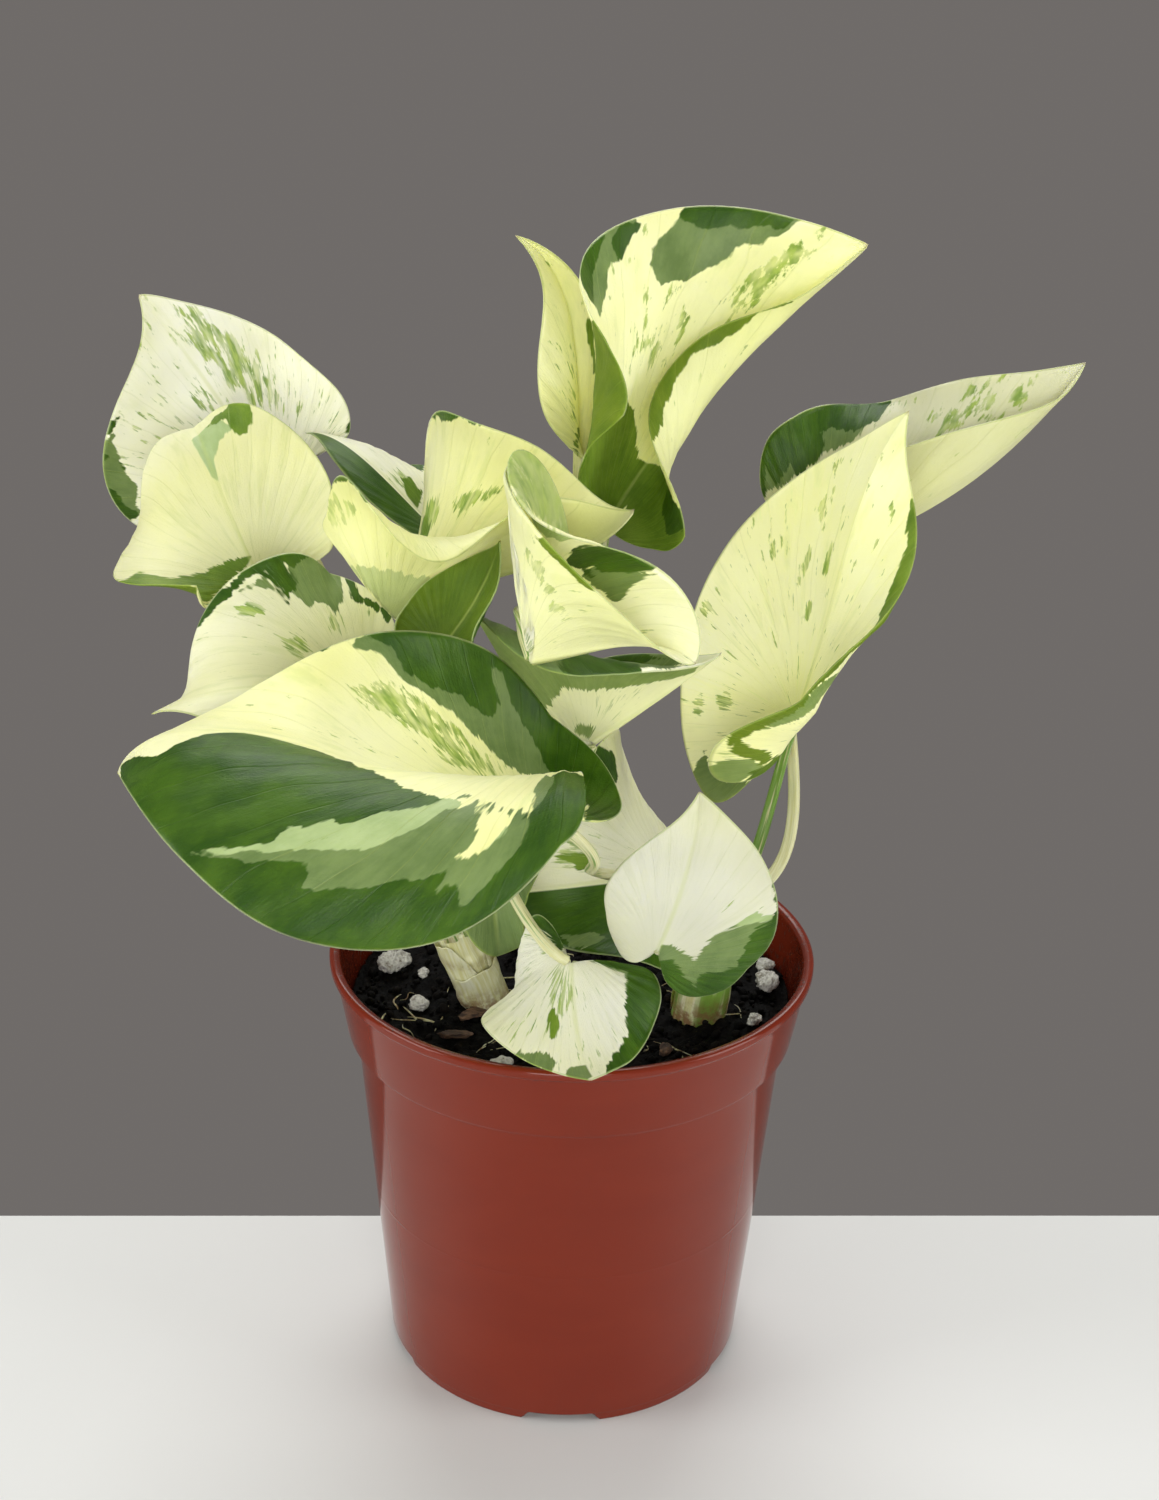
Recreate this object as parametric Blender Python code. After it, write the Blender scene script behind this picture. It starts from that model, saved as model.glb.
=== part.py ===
"""Potted pothos: a glossy nursery pot, potting mix with grit, three cuttings and their curled leaves.

Sizes are millimetres in this file and are scaled to metres when a mesh is made.  The origin is the
centre of the pot's underside, +Z is up and -Y is the side the plant leans its big leaves towards.
"""

import math
from dataclasses import dataclass

import bpy
import numpy as np

MM = 0.001

# Pot: a "4 inch" round nursery pot.
POT_HEIGHT = 97.4
RIM_RADIUS = 52.5
BAND_BOTTOM = 80.0
BAND_BOTTOM_RADIUS = 48.7
BODY_TOP_RADIUS = 46.7
BASE_RADIUS = 38.5
WALL = 1.2
STEP_HEIGHT = 2.5
CHANNEL_HEIGHT = 2.4
CHANNEL_INNER = 24.6
CHANNEL_OUTER = 36.4
POT_SEGMENTS = 72
NOTCH_COUNT = 5
NOTCH_WIDTH = 16.0
NOTCH_HEIGHT = 2.2
DRAIN_RADIUS = 3.2

# Potting mix.
SOIL_TOP = 88.0
SOIL_GAP = 0.3
SOIL_SEGMENTS = 48
POCKET_DEPTH = 5.0

# Leaves and petioles.
BLADE = 0.8
JOINT_GAP = 0.3
PETIOLE_TIP = 1.1
PETIOLE_FOOT = 1.35
RIBS = 15
RAIL = 5


@dataclass(frozen=True)
class Leaf:
    """One heart-shaped blade: where its petiole joins, which way it points and how it bends."""

    base: tuple
    heading: float
    pitch: float
    roll: float
    length: float
    half_width: tuple
    lobe: tuple
    arch: float
    droop: float
    sway: float
    twist: float
    fold: tuple
    curl: tuple
    lobe_lift: tuple


@dataclass(frozen=True)
class Stem:
    """One rooted cutting: its foot in the mix, its leaning top and its thickness."""

    foot: tuple
    top: tuple
    radius: tuple


@dataclass(frozen=True)
class Petiole:
    """One leaf stalk: the cutting it leaves, its place on that cutting's top, and its two bends."""

    stem: str
    place: tuple
    rise: tuple
    reach: tuple


STEMS = {
    "stem_left": Stem(foot=(-17, -7, 84), top=(-25, -9, 106), radius=(4.6, 4.3)),
    "stem_middle": Stem(foot=(-6, -6, 84), top=(-6, -2, 108), radius=(3.9, 4.2)),
    "stem_right": Stem(foot=(27, -9, 84), top=(31, -6, 112), radius=(5.2, 4.4)),
}

LEAVES = {
    "leaf_back_left": Leaf(
        base=(-69.0, 54.5, 184.0),
        heading=143, pitch=43, roll=-52,
        length=52.0, half_width=(34.0, 24.0), lobe=(10.0, 0.5),
        arch=1, droop=-65, sway=0, twist=42,
        fold=((-13, 22), (-23, -12)),
        curl=((-72, -13, -52), (12, 88, -7)),
        lobe_lift=(41, 1),
    ),
    "leaf_upper_left": Leaf(
        base=(-68.0, 14.0, 177.5),
        heading=139, pitch=50, roll=-29,
        length=50.5, half_width=(27.5, 23.5), lobe=(3.5, 3.5),
        arch=12, droop=110, sway=-19, twist=-13,
        fold=((-9, 14), (-36, 24)),
        curl=((120, -84, -21), (116, 35, 45)),
        lobe_lift=(-26, -27),
    ),
    "leaf_mid_left": Leaf(
        base=(-48.5, -9.0, 160.0),
        heading=-142, pitch=22, roll=-44,
        length=43.5, half_width=(20.0, 29.0), lobe=(3.0, 11.5),
        arch=9, droop=70, sway=10, twist=56,
        fold=((8, 8), (32, -26)),
        curl=((29, -118, 15), (-50, 43, -22)),
        lobe_lift=(9, -12),
    ),
    "leaf_front_left": Leaf(
        base=(-5.5, -63.0, 160.0),
        heading=-179, pitch=11, roll=-16,
        length=91.0, half_width=(55.0, 41.5), lobe=(3.5, 16.0),
        arch=-27, droop=110, sway=-15, twist=-13,
        fold=((92, -7), (-45, -28)),
        curl=((-130, -108, 40), (77, 82, -76)),
        lobe_lift=(-9, -5),
    ),
    "leaf_dark_curl": Leaf(
        base=(-33.0, 52.5, 174.0),
        heading=226, pitch=45, roll=-75,
        length=40.5, half_width=(12.5, 21.0), lobe=(3.0, 11.0),
        arch=67, droop=32, sway=-54, twist=2,
        fold=((43, -6), (-2, -17)),
        curl=((30, -13, -19), (-63, -62, 16)),
        lobe_lift=(-34, 12),
    ),
    "leaf_centre_wave": Leaf(
        base=(-37.5, -1.0, 173.5),
        heading=14, pitch=32, roll=-59,
        length=59.0, half_width=(40.0, 35.5), lobe=(-5.5, 1.5),
        arch=83, droop=-90, sway=-29, twist=4,
        fold=((73, 82), (-5, 89)),
        curl=((-130, 100, -58), (133, -130, -91)),
        lobe_lift=(0, 6),
    ),
    "leaf_centre_under": Leaf(
        base=(-25.5, -17.5, 176.0),
        heading=25, pitch=50, roll=178,
        length=23.5, half_width=(14.0, 14.5), lobe=(4.0, 7.5),
        arch=28, droop=8, sway=16, twist=-4,
        fold=((-1, 6), (-14, 3)),
        curl=((-10, -38, 8), (-33, -16, -4)),
        lobe_lift=(0, -21),
    ),
    "leaf_centre_right": Leaf(
        base=(-9.0, -40.5, 181.5),
        heading=-20, pitch=18, roll=16,
        length=34.5, half_width=(40.0, 39.5), lobe=(2.5, -6.0),
        arch=-20, droop=87, sway=1, twist=24,
        fold=((61, 47), (95, 38)),
        curl=((-130, 82, 39), (81, 50, 49)),
        lobe_lift=(-1, 0),
    ),
    "leaf_centre_boat": Leaf(
        base=(3.5, -16.0, 153.5),
        heading=-4, pitch=39, roll=-50,
        length=33.0, half_width=(17.0, 45.5), lobe=(14.5, 12.0),
        arch=-3, droop=3, sway=-2, twist=60,
        fold=((73, 1), (95, 20)),
        curl=((41, 19, -43), (-130, -98, 1)),
        lobe_lift=(0, 60),
    ),
    "leaf_narrow_top": Leaf(
        base=(-1.5, 32.0, 193.5),
        heading=272, pitch=118, roll=-93,
        length=58.5, half_width=(14.0, 9.0), lobe=(4.0, 4.0),
        arch=-2, droop=56, sway=60, twist=-37,
        fold=((25, 21), (88, 44)),
        curl=((-14, -124, -21), (130, 106, -13)),
        lobe_lift=(0, 0),
    ),
    "leaf_crown": Leaf(
        base=(5.0, 17.5, 188.0),
        heading=61, pitch=34, roll=42,
        length=91.0, half_width=(52.0, 22.5), lobe=(3.5, 2.5),
        arch=-76, droop=-27, sway=-26, twist=-18,
        fold=((34, 27), (26, 79)),
        curl=((80, 11, -125), (49, 165, -72)),
        lobe_lift=(-10, -29),
    ),
    "leaf_far_right": Leaf(
        base=(53.0, 30.0, 180.0),
        heading=-12, pitch=21, roll=49,
        length=70.0, half_width=(31.0, 18.0), lobe=(13.5, 10.5),
        arch=4, droop=14, sway=53, twist=19,
        fold=((25, 20), (95, 59)),
        curl=((1, -69, 6), (38, 122, 23)),
        lobe_lift=(18, -6),
    ),
    "leaf_right_large": Leaf(
        base=(46.0, -2.5, 157.0),
        heading=50, pitch=61, roll=-42,
        length=65.5, half_width=(30.5, 20.5), lobe=(24.0, 22.5),
        arch=-24, droop=38, sway=-23, twist=60,
        fold=((21, -45), (-27, -37)),
        curl=((81, 77, -43), (94, 52, -39)),
        lobe_lift=(3, 60),
    ),
    "leaf_small_white": Leaf(
        base=(17.0, -48.0, 123.5),
        heading=3, pitch=69, roll=73,
        length=35.0, half_width=(14.5, 22.0), lobe=(8.5, 9.5),
        arch=31, droop=-56, sway=20, twist=14,
        fold=((-24, 36), (-24, 13)),
        curl=((4, 5, 6), (-17, -7, 8)),
        lobe_lift=(-34, -26),
    ),
    "leaf_lower_middle": Leaf(
        base=(18.0, -1.5, 117.0),
        heading=-143, pitch=6, roll=-57,
        length=36.5, half_width=(21.0, 32.0), lobe=(9.5, 14.0),
        arch=51, droop=17, sway=-14, twist=-37,
        fold=((-5, 12), (-12, 17)),
        curl=((-26, 81, -17), (15, 26, -9)),
        lobe_lift=(0, -20),
    ),
    "leaf_over_rim": Leaf(
        base=(0.0, -45.0, 118.5),
        heading=-88, pitch=-30, roll=0,
        length=30.0, half_width=(19.5, 19.5), lobe=(2.0, 12.5),
        arch=6, droop=-47, sway=14, twist=-8,
        fold=((-22, -7), (-8, -7)),
        curl=((17, -24, -25), (-90, 0, -26)),
        lobe_lift=(-5, 21),
    ),
    "leaf_small_low": Leaf(
        base=(-17.0, -20.0, 125.5),
        heading=-81, pitch=-44, roll=1,
        length=20.5, half_width=(10.5, 9.0), lobe=(3.5, 3.0),
        arch=54, droop=40, sway=8, twist=-4,
        fold=((18, 19), (8, 21)),
        curl=((-23, 89, -19), (-24, 5, 7)),
        lobe_lift=(0, 0),
    ),
}

PETIOLES = {
    "front_left": Petiole("stem_right", place=(-1.8, -2.4), rise=(-47, -17, 19), reach=(-22, 0, 16)),
    "right_large": Petiole("stem_right", place=(2.9, 0.9), rise=(6, 4, 6), reach=(4, -14, 27)),
    "far_right": Petiole("stem_right", place=(1.7, -2.5), rise=(29, 1, 7), reach=(19, -5, 20)),
    "small_white": Petiole("stem_right", place=(0.0, 3.0), rise=(-1, -10, 11), reach=(-4, -16, 7)),
    "lower_middle": Petiole("stem_right", place=(-2.8, 1.0), rise=(-3, 0, 3), reach=(-4, 4, 3)),
    "over_rim": Petiole("stem_middle", place=(-3.0, -0.9), rise=(-16, -6, 35), reach=(10, -1, -5)),
    "centre_boat": Petiole("stem_middle", place=(-2.3, 2.1), rise=(-8, -9, 41), reach=(4, -1, 11)),
    "centre_right": Petiole("stem_middle", place=(3.0, 0.9), rise=(-7, 26, 58), reach=(6, -16, -12)),
    "centre_wave": Petiole("stem_middle", place=(0.7, 3.0), rise=(-7, 1, 23), reach=(-10, 0, 28)),
    "centre_under": Petiole("stem_left", place=(-2.9, -0.9), rise=(-2, -10, 35), reach=(8, 6, 8)),
    "crown": Petiole("stem_middle", place=(-0.7, -3.0), rise=(7, 14, 50), reach=(2, 3, 14)),
    "narrow_top": Petiole("stem_middle", place=(2.3, -2.1), rise=(13, 1, 19), reach=(2, 1, 13)),
    "mid_left": Petiole("stem_left", place=(0.7, 2.9), rise=(-12, 8, 23), reach=(-5, -3, 7)),
    "upper_left": Petiole("stem_left", place=(-0.7, -2.9), rise=(-11, -16, 10), reach=(-14, 6, 25)),
    "back_left": Petiole("stem_left", place=(2.9, 0.9), rise=(-6, 13, 22), reach=(-7, 4, 12)),
    "dark_curl": Petiole("stem_left", place=(2.2, -2.0), rise=(-7, 15, 35), reach=(4, 6, 11)),
    "small_low": Petiole("stem_left", place=(-2.2, 2.0), rise=(-11, 6, 7), reach=(9, -6, 0)),
}

@dataclass(frozen=True)
class Grit:
    """One loose piece lying on the mix."""

    spot: tuple
    size: tuple
    turn: float
    seed: int


GRIT = {
    "perlite_left_large": Grit(spot=(-39.0, 5.5), size=(7.0, 5.4, 4.6), turn=20, seed=3),
    "perlite_left_small": Grit(spot=(-32.6, 2.2), size=(3.2, 2.6, 2.2), turn=70, seed=4),
    "perlite_left_front": Grit(spot=(-32.5, -11.5), size=(4.2, 3.6, 3.2), turn=10, seed=5),
    "perlite_front": Grit(spot=(-14.0, -35.0), size=(4.6, 3.2, 2.4), turn=15, seed=6),
    "perlite_right_large": Grit(spot=(42.5, 1.0), size=(5.6, 4.8, 4.4), turn=35, seed=7),
    "perlite_right_back": Grit(spot=(43.0, 9.0), size=(4.6, 3.8, 3.2), turn=80, seed=8),
    "perlite_right_front": Grit(spot=(39.5, -14.5), size=(4.0, 3.4, 2.8), turn=50, seed=9),
    "bark_left": Grit(spot=(-24.5, -23.5), size=(8.0, 3.0, 2.0), turn=5, seed=10),
    "bark_middle": Grit(spot=(-21.0, -15.0), size=(7.0, 4.0, 2.4), turn=30, seed=11),
    "bark_right": Grit(spot=(20.0, -28.0), size=(3.6, 3.0, 2.6), turn=60, seed=12),
}


# ---------------------------------------------------------------------------------------------
# Meshes


def clear_scene():
    for obj in list(bpy.data.objects):
        bpy.data.objects.remove(obj, do_unlink=True)


def material(name, colour, roughness):
    made = bpy.data.materials.new(name)
    made.use_nodes = True
    shader = made.node_tree.nodes["Principled BSDF"]
    shader.inputs["Base Color"].default_value = (*colour, 1.0)
    shader.inputs["Roughness"].default_value = roughness
    return made


def add_mesh(name, points, faces, finish):
    """A mesh object from millimetre points."""
    mesh = bpy.data.meshes.new(name)
    mesh.from_pydata((np.asarray(points) * MM).tolist(), [], faces)
    mesh.validate()
    mesh.update()
    mesh.materials.append(finish)
    obj = bpy.data.objects.new(name, mesh)
    bpy.context.scene.collection.objects.link(obj)
    return obj


def add_helper(name, points, faces):
    """A cutter: it takes part in Booleans and isn't rendered."""
    mesh = bpy.data.meshes.new(name)
    mesh.from_pydata((np.asarray(points) * MM).tolist(), [], faces)
    mesh.update()
    obj = bpy.data.objects.new(name, mesh)
    bpy.context.scene.collection.objects.link(obj)
    obj.hide_render = True
    obj.display_type = "WIRE"
    return obj


def cut(obj, cutter):
    tool = obj.modifiers.new("cut_" + cutter.name, "BOOLEAN")
    tool.operation = "DIFFERENCE"
    tool.solver = "EXACT"
    tool.object = cutter


def revolve(profile, segments):
    """Faces of a profile of (radius, height) turned about Z; its two ends lie on the axis."""
    rows = []
    points = []
    for radius, height in profile:
        if radius < 1e-6:
            rows.append([len(points)] * segments)
            points.append((0.0, 0.0, height))
            continue
        row = []
        for k in range(segments):
            turn = 2 * math.pi * k / segments
            row.append(len(points))
            points.append((radius * math.cos(turn), radius * math.sin(turn), height))
        rows.append(row)
    faces = []
    for low, high in zip(rows, rows[1:]):
        for k in range(segments):
            n = (k + 1) % segments
            ring = [low[k], low[n], high[n], high[k]]
            face = [v for i, v in enumerate(ring) if v != ring[i - 1]]
            if len(face) > 2:
                faces.append(face)
    return points, faces


def tube(path, radii, sides):
    """A round closed tube along a path, its ends domed."""
    path = np.asarray(path, float)
    along = np.gradient(path, axis=0)
    along /= np.linalg.norm(along, axis=1)[:, None]
    side = np.cross(along[0], (0.31, 0.95, 0.05))
    rings = []
    for k, heading in enumerate(along):
        side = side - heading * (side @ heading)
        side = side / np.linalg.norm(side)
        other = np.cross(heading, side)
        turn = np.arange(sides) * 2 * math.pi / sides
        rings.append(path[k] + radii[k] * (np.cos(turn)[:, None] * side + np.sin(turn)[:, None] * other))
    points = np.vstack([path[:1] - along[0] * radii[0] * 0.35, *rings, path[-1:] + along[-1] * radii[-1] * 0.35])
    last = len(points) - 1
    faces = []
    for k in range(sides):
        n = (k + 1) % sides
        faces.append([0, 1 + n, 1 + k])
        faces.append([last, last - sides + k, last - sides + n])
        for row in range(len(path) - 1):
            a = 1 + row * sides
            faces.append([a + k, a + n, a + sides + n, a + sides + k])
    return points, faces


def bezier(a, b, c, d, count):
    t = np.linspace(0.0, 1.0, count)[:, None]
    a, b, c, d = (np.asarray(v, float) for v in (a, b, c, d))
    return a * (1 - t) ** 3 + 3 * b * t * (1 - t) ** 2 + 3 * c * t**2 * (1 - t) + d * t**3


# ---------------------------------------------------------------------------------------------
# The blade: a flat heart, then its midrib is bent and each half folded and curled


# The margin from the notch round the lobe to the tip: shares of the lobe or the length, and of the width.
MARGIN = (
    (0.0, 0.0),
    (-0.72, 0.22),
    (-1.0, 0.52),
    (-0.55, 0.84),
    (0.16, 1.0),
    (0.42, 0.90),
    (0.66, 0.62),
    (0.86, 0.25),
    (1.0, 0.0),
)


def spline(keys, count):
    """Points along a smooth curve through the keys."""
    keys = np.asarray(keys, float)
    padded = np.vstack([2 * keys[0] - keys[1], keys, 2 * keys[-1] - keys[-2]])
    s = np.linspace(0, len(keys) - 1, count)
    i = np.minimum(s.astype(int), len(keys) - 2)
    u = (s - i)[:, None]
    a, b, c, d = padded[i], padded[i + 1], padded[i + 2], padded[i + 3]
    return 0.5 * (2 * b + (c - a) * u + (2 * a - 5 * b + 4 * c - d) * u**2 + (3 * b - a - 3 * c + d) * u**3)


def flat_half(leaf, side, ribs, rail):
    """Grid of flat points on one half: ribs leave the midrib and end on the margin."""
    which = 0 if side > 0 else 1
    keys = [
        (x * (leaf.lobe[which] if x < 0 else leaf.length), y * leaf.half_width[which])
        for x, y in MARGIN
    ]
    edge = spline(keys, ribs)
    t = np.linspace(0, 1, ribs)[:, None]
    root = leaf.length * np.clip((t - 0.34) / 0.66, 0, 1) ** 1.25
    v = np.linspace(0, 1, rail)[None]
    return root + (edge[:, :1] - root) * v, edge[:, 1:] * v


def midrib(leaf):
    """Stations along the midrib with their positions and frames, the petiole joint at zero."""
    x = np.linspace(-30, leaf.length, 160)
    s = x / leaf.length
    arch = np.radians(leaf.arch * s + leaf.droop * np.maximum(s, 0) ** 3)
    yaw = np.radians(leaf.sway * s)
    turn = np.radians(leaf.twist * s)
    along = np.c_[np.cos(arch) * np.cos(yaw), np.cos(arch) * np.sin(yaw), -np.sin(arch)]
    steps = (along[1:] + along[:-1]) / 2 * np.diff(x)[:, None]
    place = np.vstack([np.zeros(3), np.cumsum(steps, axis=0)])
    place -= [np.interp(0, x, place[:, k]) for k in range(3)]
    return x, place, arch, yaw, turn


def three_values(values, s):
    """The quadratic through three values at the foot, middle and tip."""
    foot, middle, tip = values
    return foot * (1 - s) * (1 - 2 * s) + 4 * middle * s * (1 - s) + tip * s * (2 * s - 1)


def bend(leaf, x, q, side):
    """Where the flat point (x, q) of one half lies on the bent blade."""
    which = 0 if side > 0 else 1
    width = leaf.half_width[which]
    stations, place, arch, yaw, turn = midrib(leaf)
    on_rib = np.stack([np.interp(x, stations, place[:, k]) for k in range(3)], -1)
    arch, yaw, turn = (np.interp(x, stations, a) for a in (arch, yaw, turn))
    level = np.stack([-np.sin(yaw), np.cos(yaw), 0 * yaw], -1)
    up = np.stack([np.sin(arch) * np.cos(yaw), np.sin(arch) * np.sin(yaw), np.cos(arch)], -1)
    across = level * np.cos(turn)[..., None] + up * np.sin(turn)[..., None]
    normal = up * np.cos(turn)[..., None] - level * np.sin(turn)[..., None]
    s = np.clip(x / leaf.length, 0, 1)
    fold = np.radians(leaf.fold[which][0] + (leaf.fold[which][1] - leaf.fold[which][0]) * s)
    curl = np.radians(three_values(leaf.curl[which], s))
    nodes, weights = np.polynomial.legendre.leggauss(8)
    out = 0
    lift = 0
    for node, weight in zip((nodes + 1) / 2, weights / 2):
        angle = fold + curl * q * node / width
        out = out + weight * np.cos(angle)
        lift = lift + weight * np.sin(angle)
    back = np.clip(-x, 0, None) * np.clip(q / width, 0, 1)
    lift = q * lift + math.sin(math.radians(leaf.lobe_lift[which])) * back
    return on_rib + across * (side * q * out)[..., None] + normal * lift[..., None]


def turned(leaf):
    """Rotation from the blade's own axes to the world's."""
    h, p, r = (math.radians(v) for v in (leaf.heading, leaf.pitch, leaf.roll))
    yaw = np.array([[math.cos(h), -math.sin(h), 0], [math.sin(h), math.cos(h), 0], [0, 0, 1]])
    rise = np.array([[math.cos(p), 0, -math.sin(p)], [0, 1, 0], [math.sin(p), 0, math.cos(p)]])
    roll = np.array([[1, 0, 0], [0, math.cos(r), -math.sin(r)], [0, math.sin(r), math.cos(r)]])
    return yaw @ rise @ roll


def blade_sheet(leaf, ribs, rail):
    """The blade's middle surface as points and triangles, and its outline as point numbers."""
    points = []
    number = {}

    def vertex(side, i, j, where):
        if i == 0 or (j == 0 and (i / (ribs - 1)) <= 0.34):
            key = "foot"
        elif i == ribs - 1:
            key = "tip"
        elif j == 0:
            key = ("rib", i)
        else:
            key = (side, i, j)
        if key not in number:
            number[key] = len(points)
            points.append(where)
        return number[key]

    faces = []
    outline = {}
    for side in (1, -1):
        x, q = flat_half(leaf, side, ribs, rail)
        where = bend(leaf, x, q, side) @ turned(leaf).T + np.array(leaf.base)
        grid = [[vertex(side, i, j, where[i, j]) for j in range(rail)] for i in range(ribs)]
        for i in range(ribs - 1):
            for j in range(rail - 1):
                a, b, c, d = grid[i][j], grid[i + 1][j], grid[i + 1][j + 1], grid[i][j + 1]
                for face in ((a, b, c), (a, c, d)):
                    if len(set(face)) == 3:
                        faces.append(face if side > 0 else face[::-1])
        outline[side] = [grid[i][rail - 1] for i in range(ribs)]
    return np.array(points), faces, outline[1] + outline[-1][-2:0:-1]


def thicken(points, faces, outline, thickness):
    """A closed sheet of even thickness about a middle surface."""
    faces = np.array(faces)
    corner = points[faces]
    area = np.cross(corner[:, 1] - corner[:, 0], corner[:, 2] - corner[:, 0])
    normal = np.zeros_like(points)
    for k in range(3):
        np.add.at(normal, faces[:, k], area)
    normal /= np.linalg.norm(normal, axis=1)[:, None]
    count = len(points)
    both = np.vstack([points + normal * thickness / 2, points - normal * thickness / 2])
    skin = faces.tolist() + (faces[:, ::-1] + count).tolist()
    for a, b in zip(outline, outline[1:] + outline[:1]):
        skin.append([b + count, a + count, a])
        skin.append([b, b + count, a])
    return both, skin


# ---------------------------------------------------------------------------------------------
# Sub-parts


def pot_profile():
    inner_floor = CHANNEL_HEIGHT + 1.6
    return [
        (0.0, 0.0),
        (24.0, 0.0),
        (CHANNEL_INNER, CHANNEL_HEIGHT),
        (CHANNEL_OUTER, CHANNEL_HEIGHT),
        (CHANNEL_OUTER + 0.5, 0.0),
        (BASE_RADIUS, 0.0),
        (BASE_RADIUS + 0.25, 0.3),
        (BASE_RADIUS + 0.5, STEP_HEIGHT - 0.2),
        (BASE_RADIUS + 0.9, STEP_HEIGHT + 0.2),
        (BODY_TOP_RADIUS, BAND_BOTTOM - 1.2),
        (BAND_BOTTOM_RADIUS - 0.3, BAND_BOTTOM - 0.3),
        (BAND_BOTTOM_RADIUS, BAND_BOTTOM + 0.2),
        (RIM_RADIUS - 1.0, POT_HEIGHT - 2.2),
        (RIM_RADIUS - 0.2, POT_HEIGHT - 1.6),
        (RIM_RADIUS, POT_HEIGHT - 0.9),
        (RIM_RADIUS - 0.4, POT_HEIGHT - 0.2),
        (RIM_RADIUS - 1.2, POT_HEIGHT),
        (RIM_RADIUS - 2.0, POT_HEIGHT - 0.4),
        (RIM_RADIUS - 2.4, POT_HEIGHT - 1.4),
        (BAND_BOTTOM_RADIUS - WALL, BAND_BOTTOM + 1.4),
        (BODY_TOP_RADIUS - WALL, BAND_BOTTOM - 0.6),
        (BASE_RADIUS + 0.4 - WALL, inner_floor + 1.0),
        (BASE_RADIUS - 0.4 - WALL, inner_floor),
        (CHANNEL_INNER - 1.2, inner_floor),
        (CHANNEL_INNER - 1.9, 1.6),
        (0.0, 1.6),
    ]


def drain_cutter():
    """Slant-sided notches through the foot ring, and a round drain hole beside each."""
    points = []
    faces = []
    for k in range(NOTCH_COUNT):
        turn = math.radians(-90) + 2 * math.pi * k / NOTCH_COUNT
        out = np.array([math.cos(turn), math.sin(turn), 0.0])
        side = np.array([-math.sin(turn), math.cos(turn), 0.0])
        start = len(points)
        for radius in (CHANNEL_OUTER - 1.5, BASE_RADIUS + 2.0):
            for half, height in (
                (NOTCH_WIDTH / 2 + 1.6, -1.0),
                (NOTCH_WIDTH / 2 - 1.2, NOTCH_HEIGHT),
            ):
                points.append(out * radius - side * half + [0, 0, height])
                points.append(out * radius + side * half + [0, 0, height])
        a = start
        faces += [
            [a, a + 2, a + 3, a + 1],
            [a + 4, a + 5, a + 7, a + 6],
            [a, a + 1, a + 5, a + 4],
            [a + 2, a + 6, a + 7, a + 3],
            [a, a + 4, a + 6, a + 2],
            [a + 1, a + 3, a + 7, a + 5],
        ]
        middle = turn + math.pi / NOTCH_COUNT
        centre = np.array([math.cos(middle), math.sin(middle), 0.0]) * (CHANNEL_INNER + CHANNEL_OUTER) / 2
        start = len(points)
        sides = 16
        for height in (CHANNEL_HEIGHT - 0.8, CHANNEL_HEIGHT + 2.6):
            for n in range(sides):
                spin = 2 * math.pi * n / sides
                points.append(centre + [DRAIN_RADIUS * math.cos(spin), DRAIN_RADIUS * math.sin(spin), height])
        faces.append([start + n for n in range(sides)][::-1])
        faces.append([start + sides + n for n in range(sides)])
        for n in range(sides):
            m = (n + 1) % sides
            faces.append([start + n, start + m, start + sides + m, start + sides + n])
    return points, faces


def build_pot(finish):
    points, faces = revolve(pot_profile(), POT_SEGMENTS)
    pot = add_mesh("nursery_pot", points, faces, finish)
    cut(pot, add_helper("drain_cutter", *drain_cutter()))
    return pot


def soil_radius(height):
    """Inside radius of the pot at a height, less the gap."""
    share = (height - 5.0) / (BAND_BOTTOM - 5.6)
    if height > BAND_BOTTOM - 0.6:
        share_band = (height - BAND_BOTTOM - 1.4) / (POT_HEIGHT - 1.4 - BAND_BOTTOM - 1.4)
        inner = BAND_BOTTOM_RADIUS - WALL
        return inner + (RIM_RADIUS - 2.4 - inner) * max(share_band, 0.0) - SOIL_GAP
    inner = BASE_RADIUS + 0.4 - WALL
    return inner + (BODY_TOP_RADIUS - 0.4 - BASE_RADIUS) * share - SOIL_GAP


def build_soil(finish):
    floor = CHANNEL_HEIGHT + 1.6 + SOIL_GAP
    profile = [
        (0.0, floor),
        (BASE_RADIUS - 0.7 - WALL - SOIL_GAP, floor),
        (soil_radius(6.0) - 0.1, 6.0),
        (soil_radius(BAND_BOTTOM - 1.5), BAND_BOTTOM - 1.5),
        (BODY_TOP_RADIUS - WALL - SOIL_GAP - 0.2, BAND_BOTTOM + 1.6),
        (soil_radius(SOIL_TOP - 1.5) - 0.1, SOIL_TOP - 1.6),
        (soil_radius(SOIL_TOP) - 0.8, SOIL_TOP - 0.4),
        (soil_radius(SOIL_TOP) - 3.0, SOIL_TOP),
        (0.0, SOIL_TOP),
    ]
    points, faces = revolve(profile, SOIL_SEGMENTS)
    soil = add_mesh("potting_mix", points, faces, finish)
    for name, stem in STEMS.items():
        low = np.array(stem.foot) - stem_heading(stem) * 1.0
        high = np.array(stem.foot) + stem_heading(stem) * (POCKET_DEPTH + 14.0)
        path = np.array([low + (high - low) * t for t in np.linspace(0, 1, 4)])
        points, faces = tube(path, [stem.radius[0] + JOINT_GAP + 0.25] * 4, 20)
        cut(soil, add_helper("pocket_" + name, points, faces))
    return soil


def stem_heading(stem):
    way = np.array(stem.top) - np.array(stem.foot)
    return way / np.linalg.norm(way)


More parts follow.
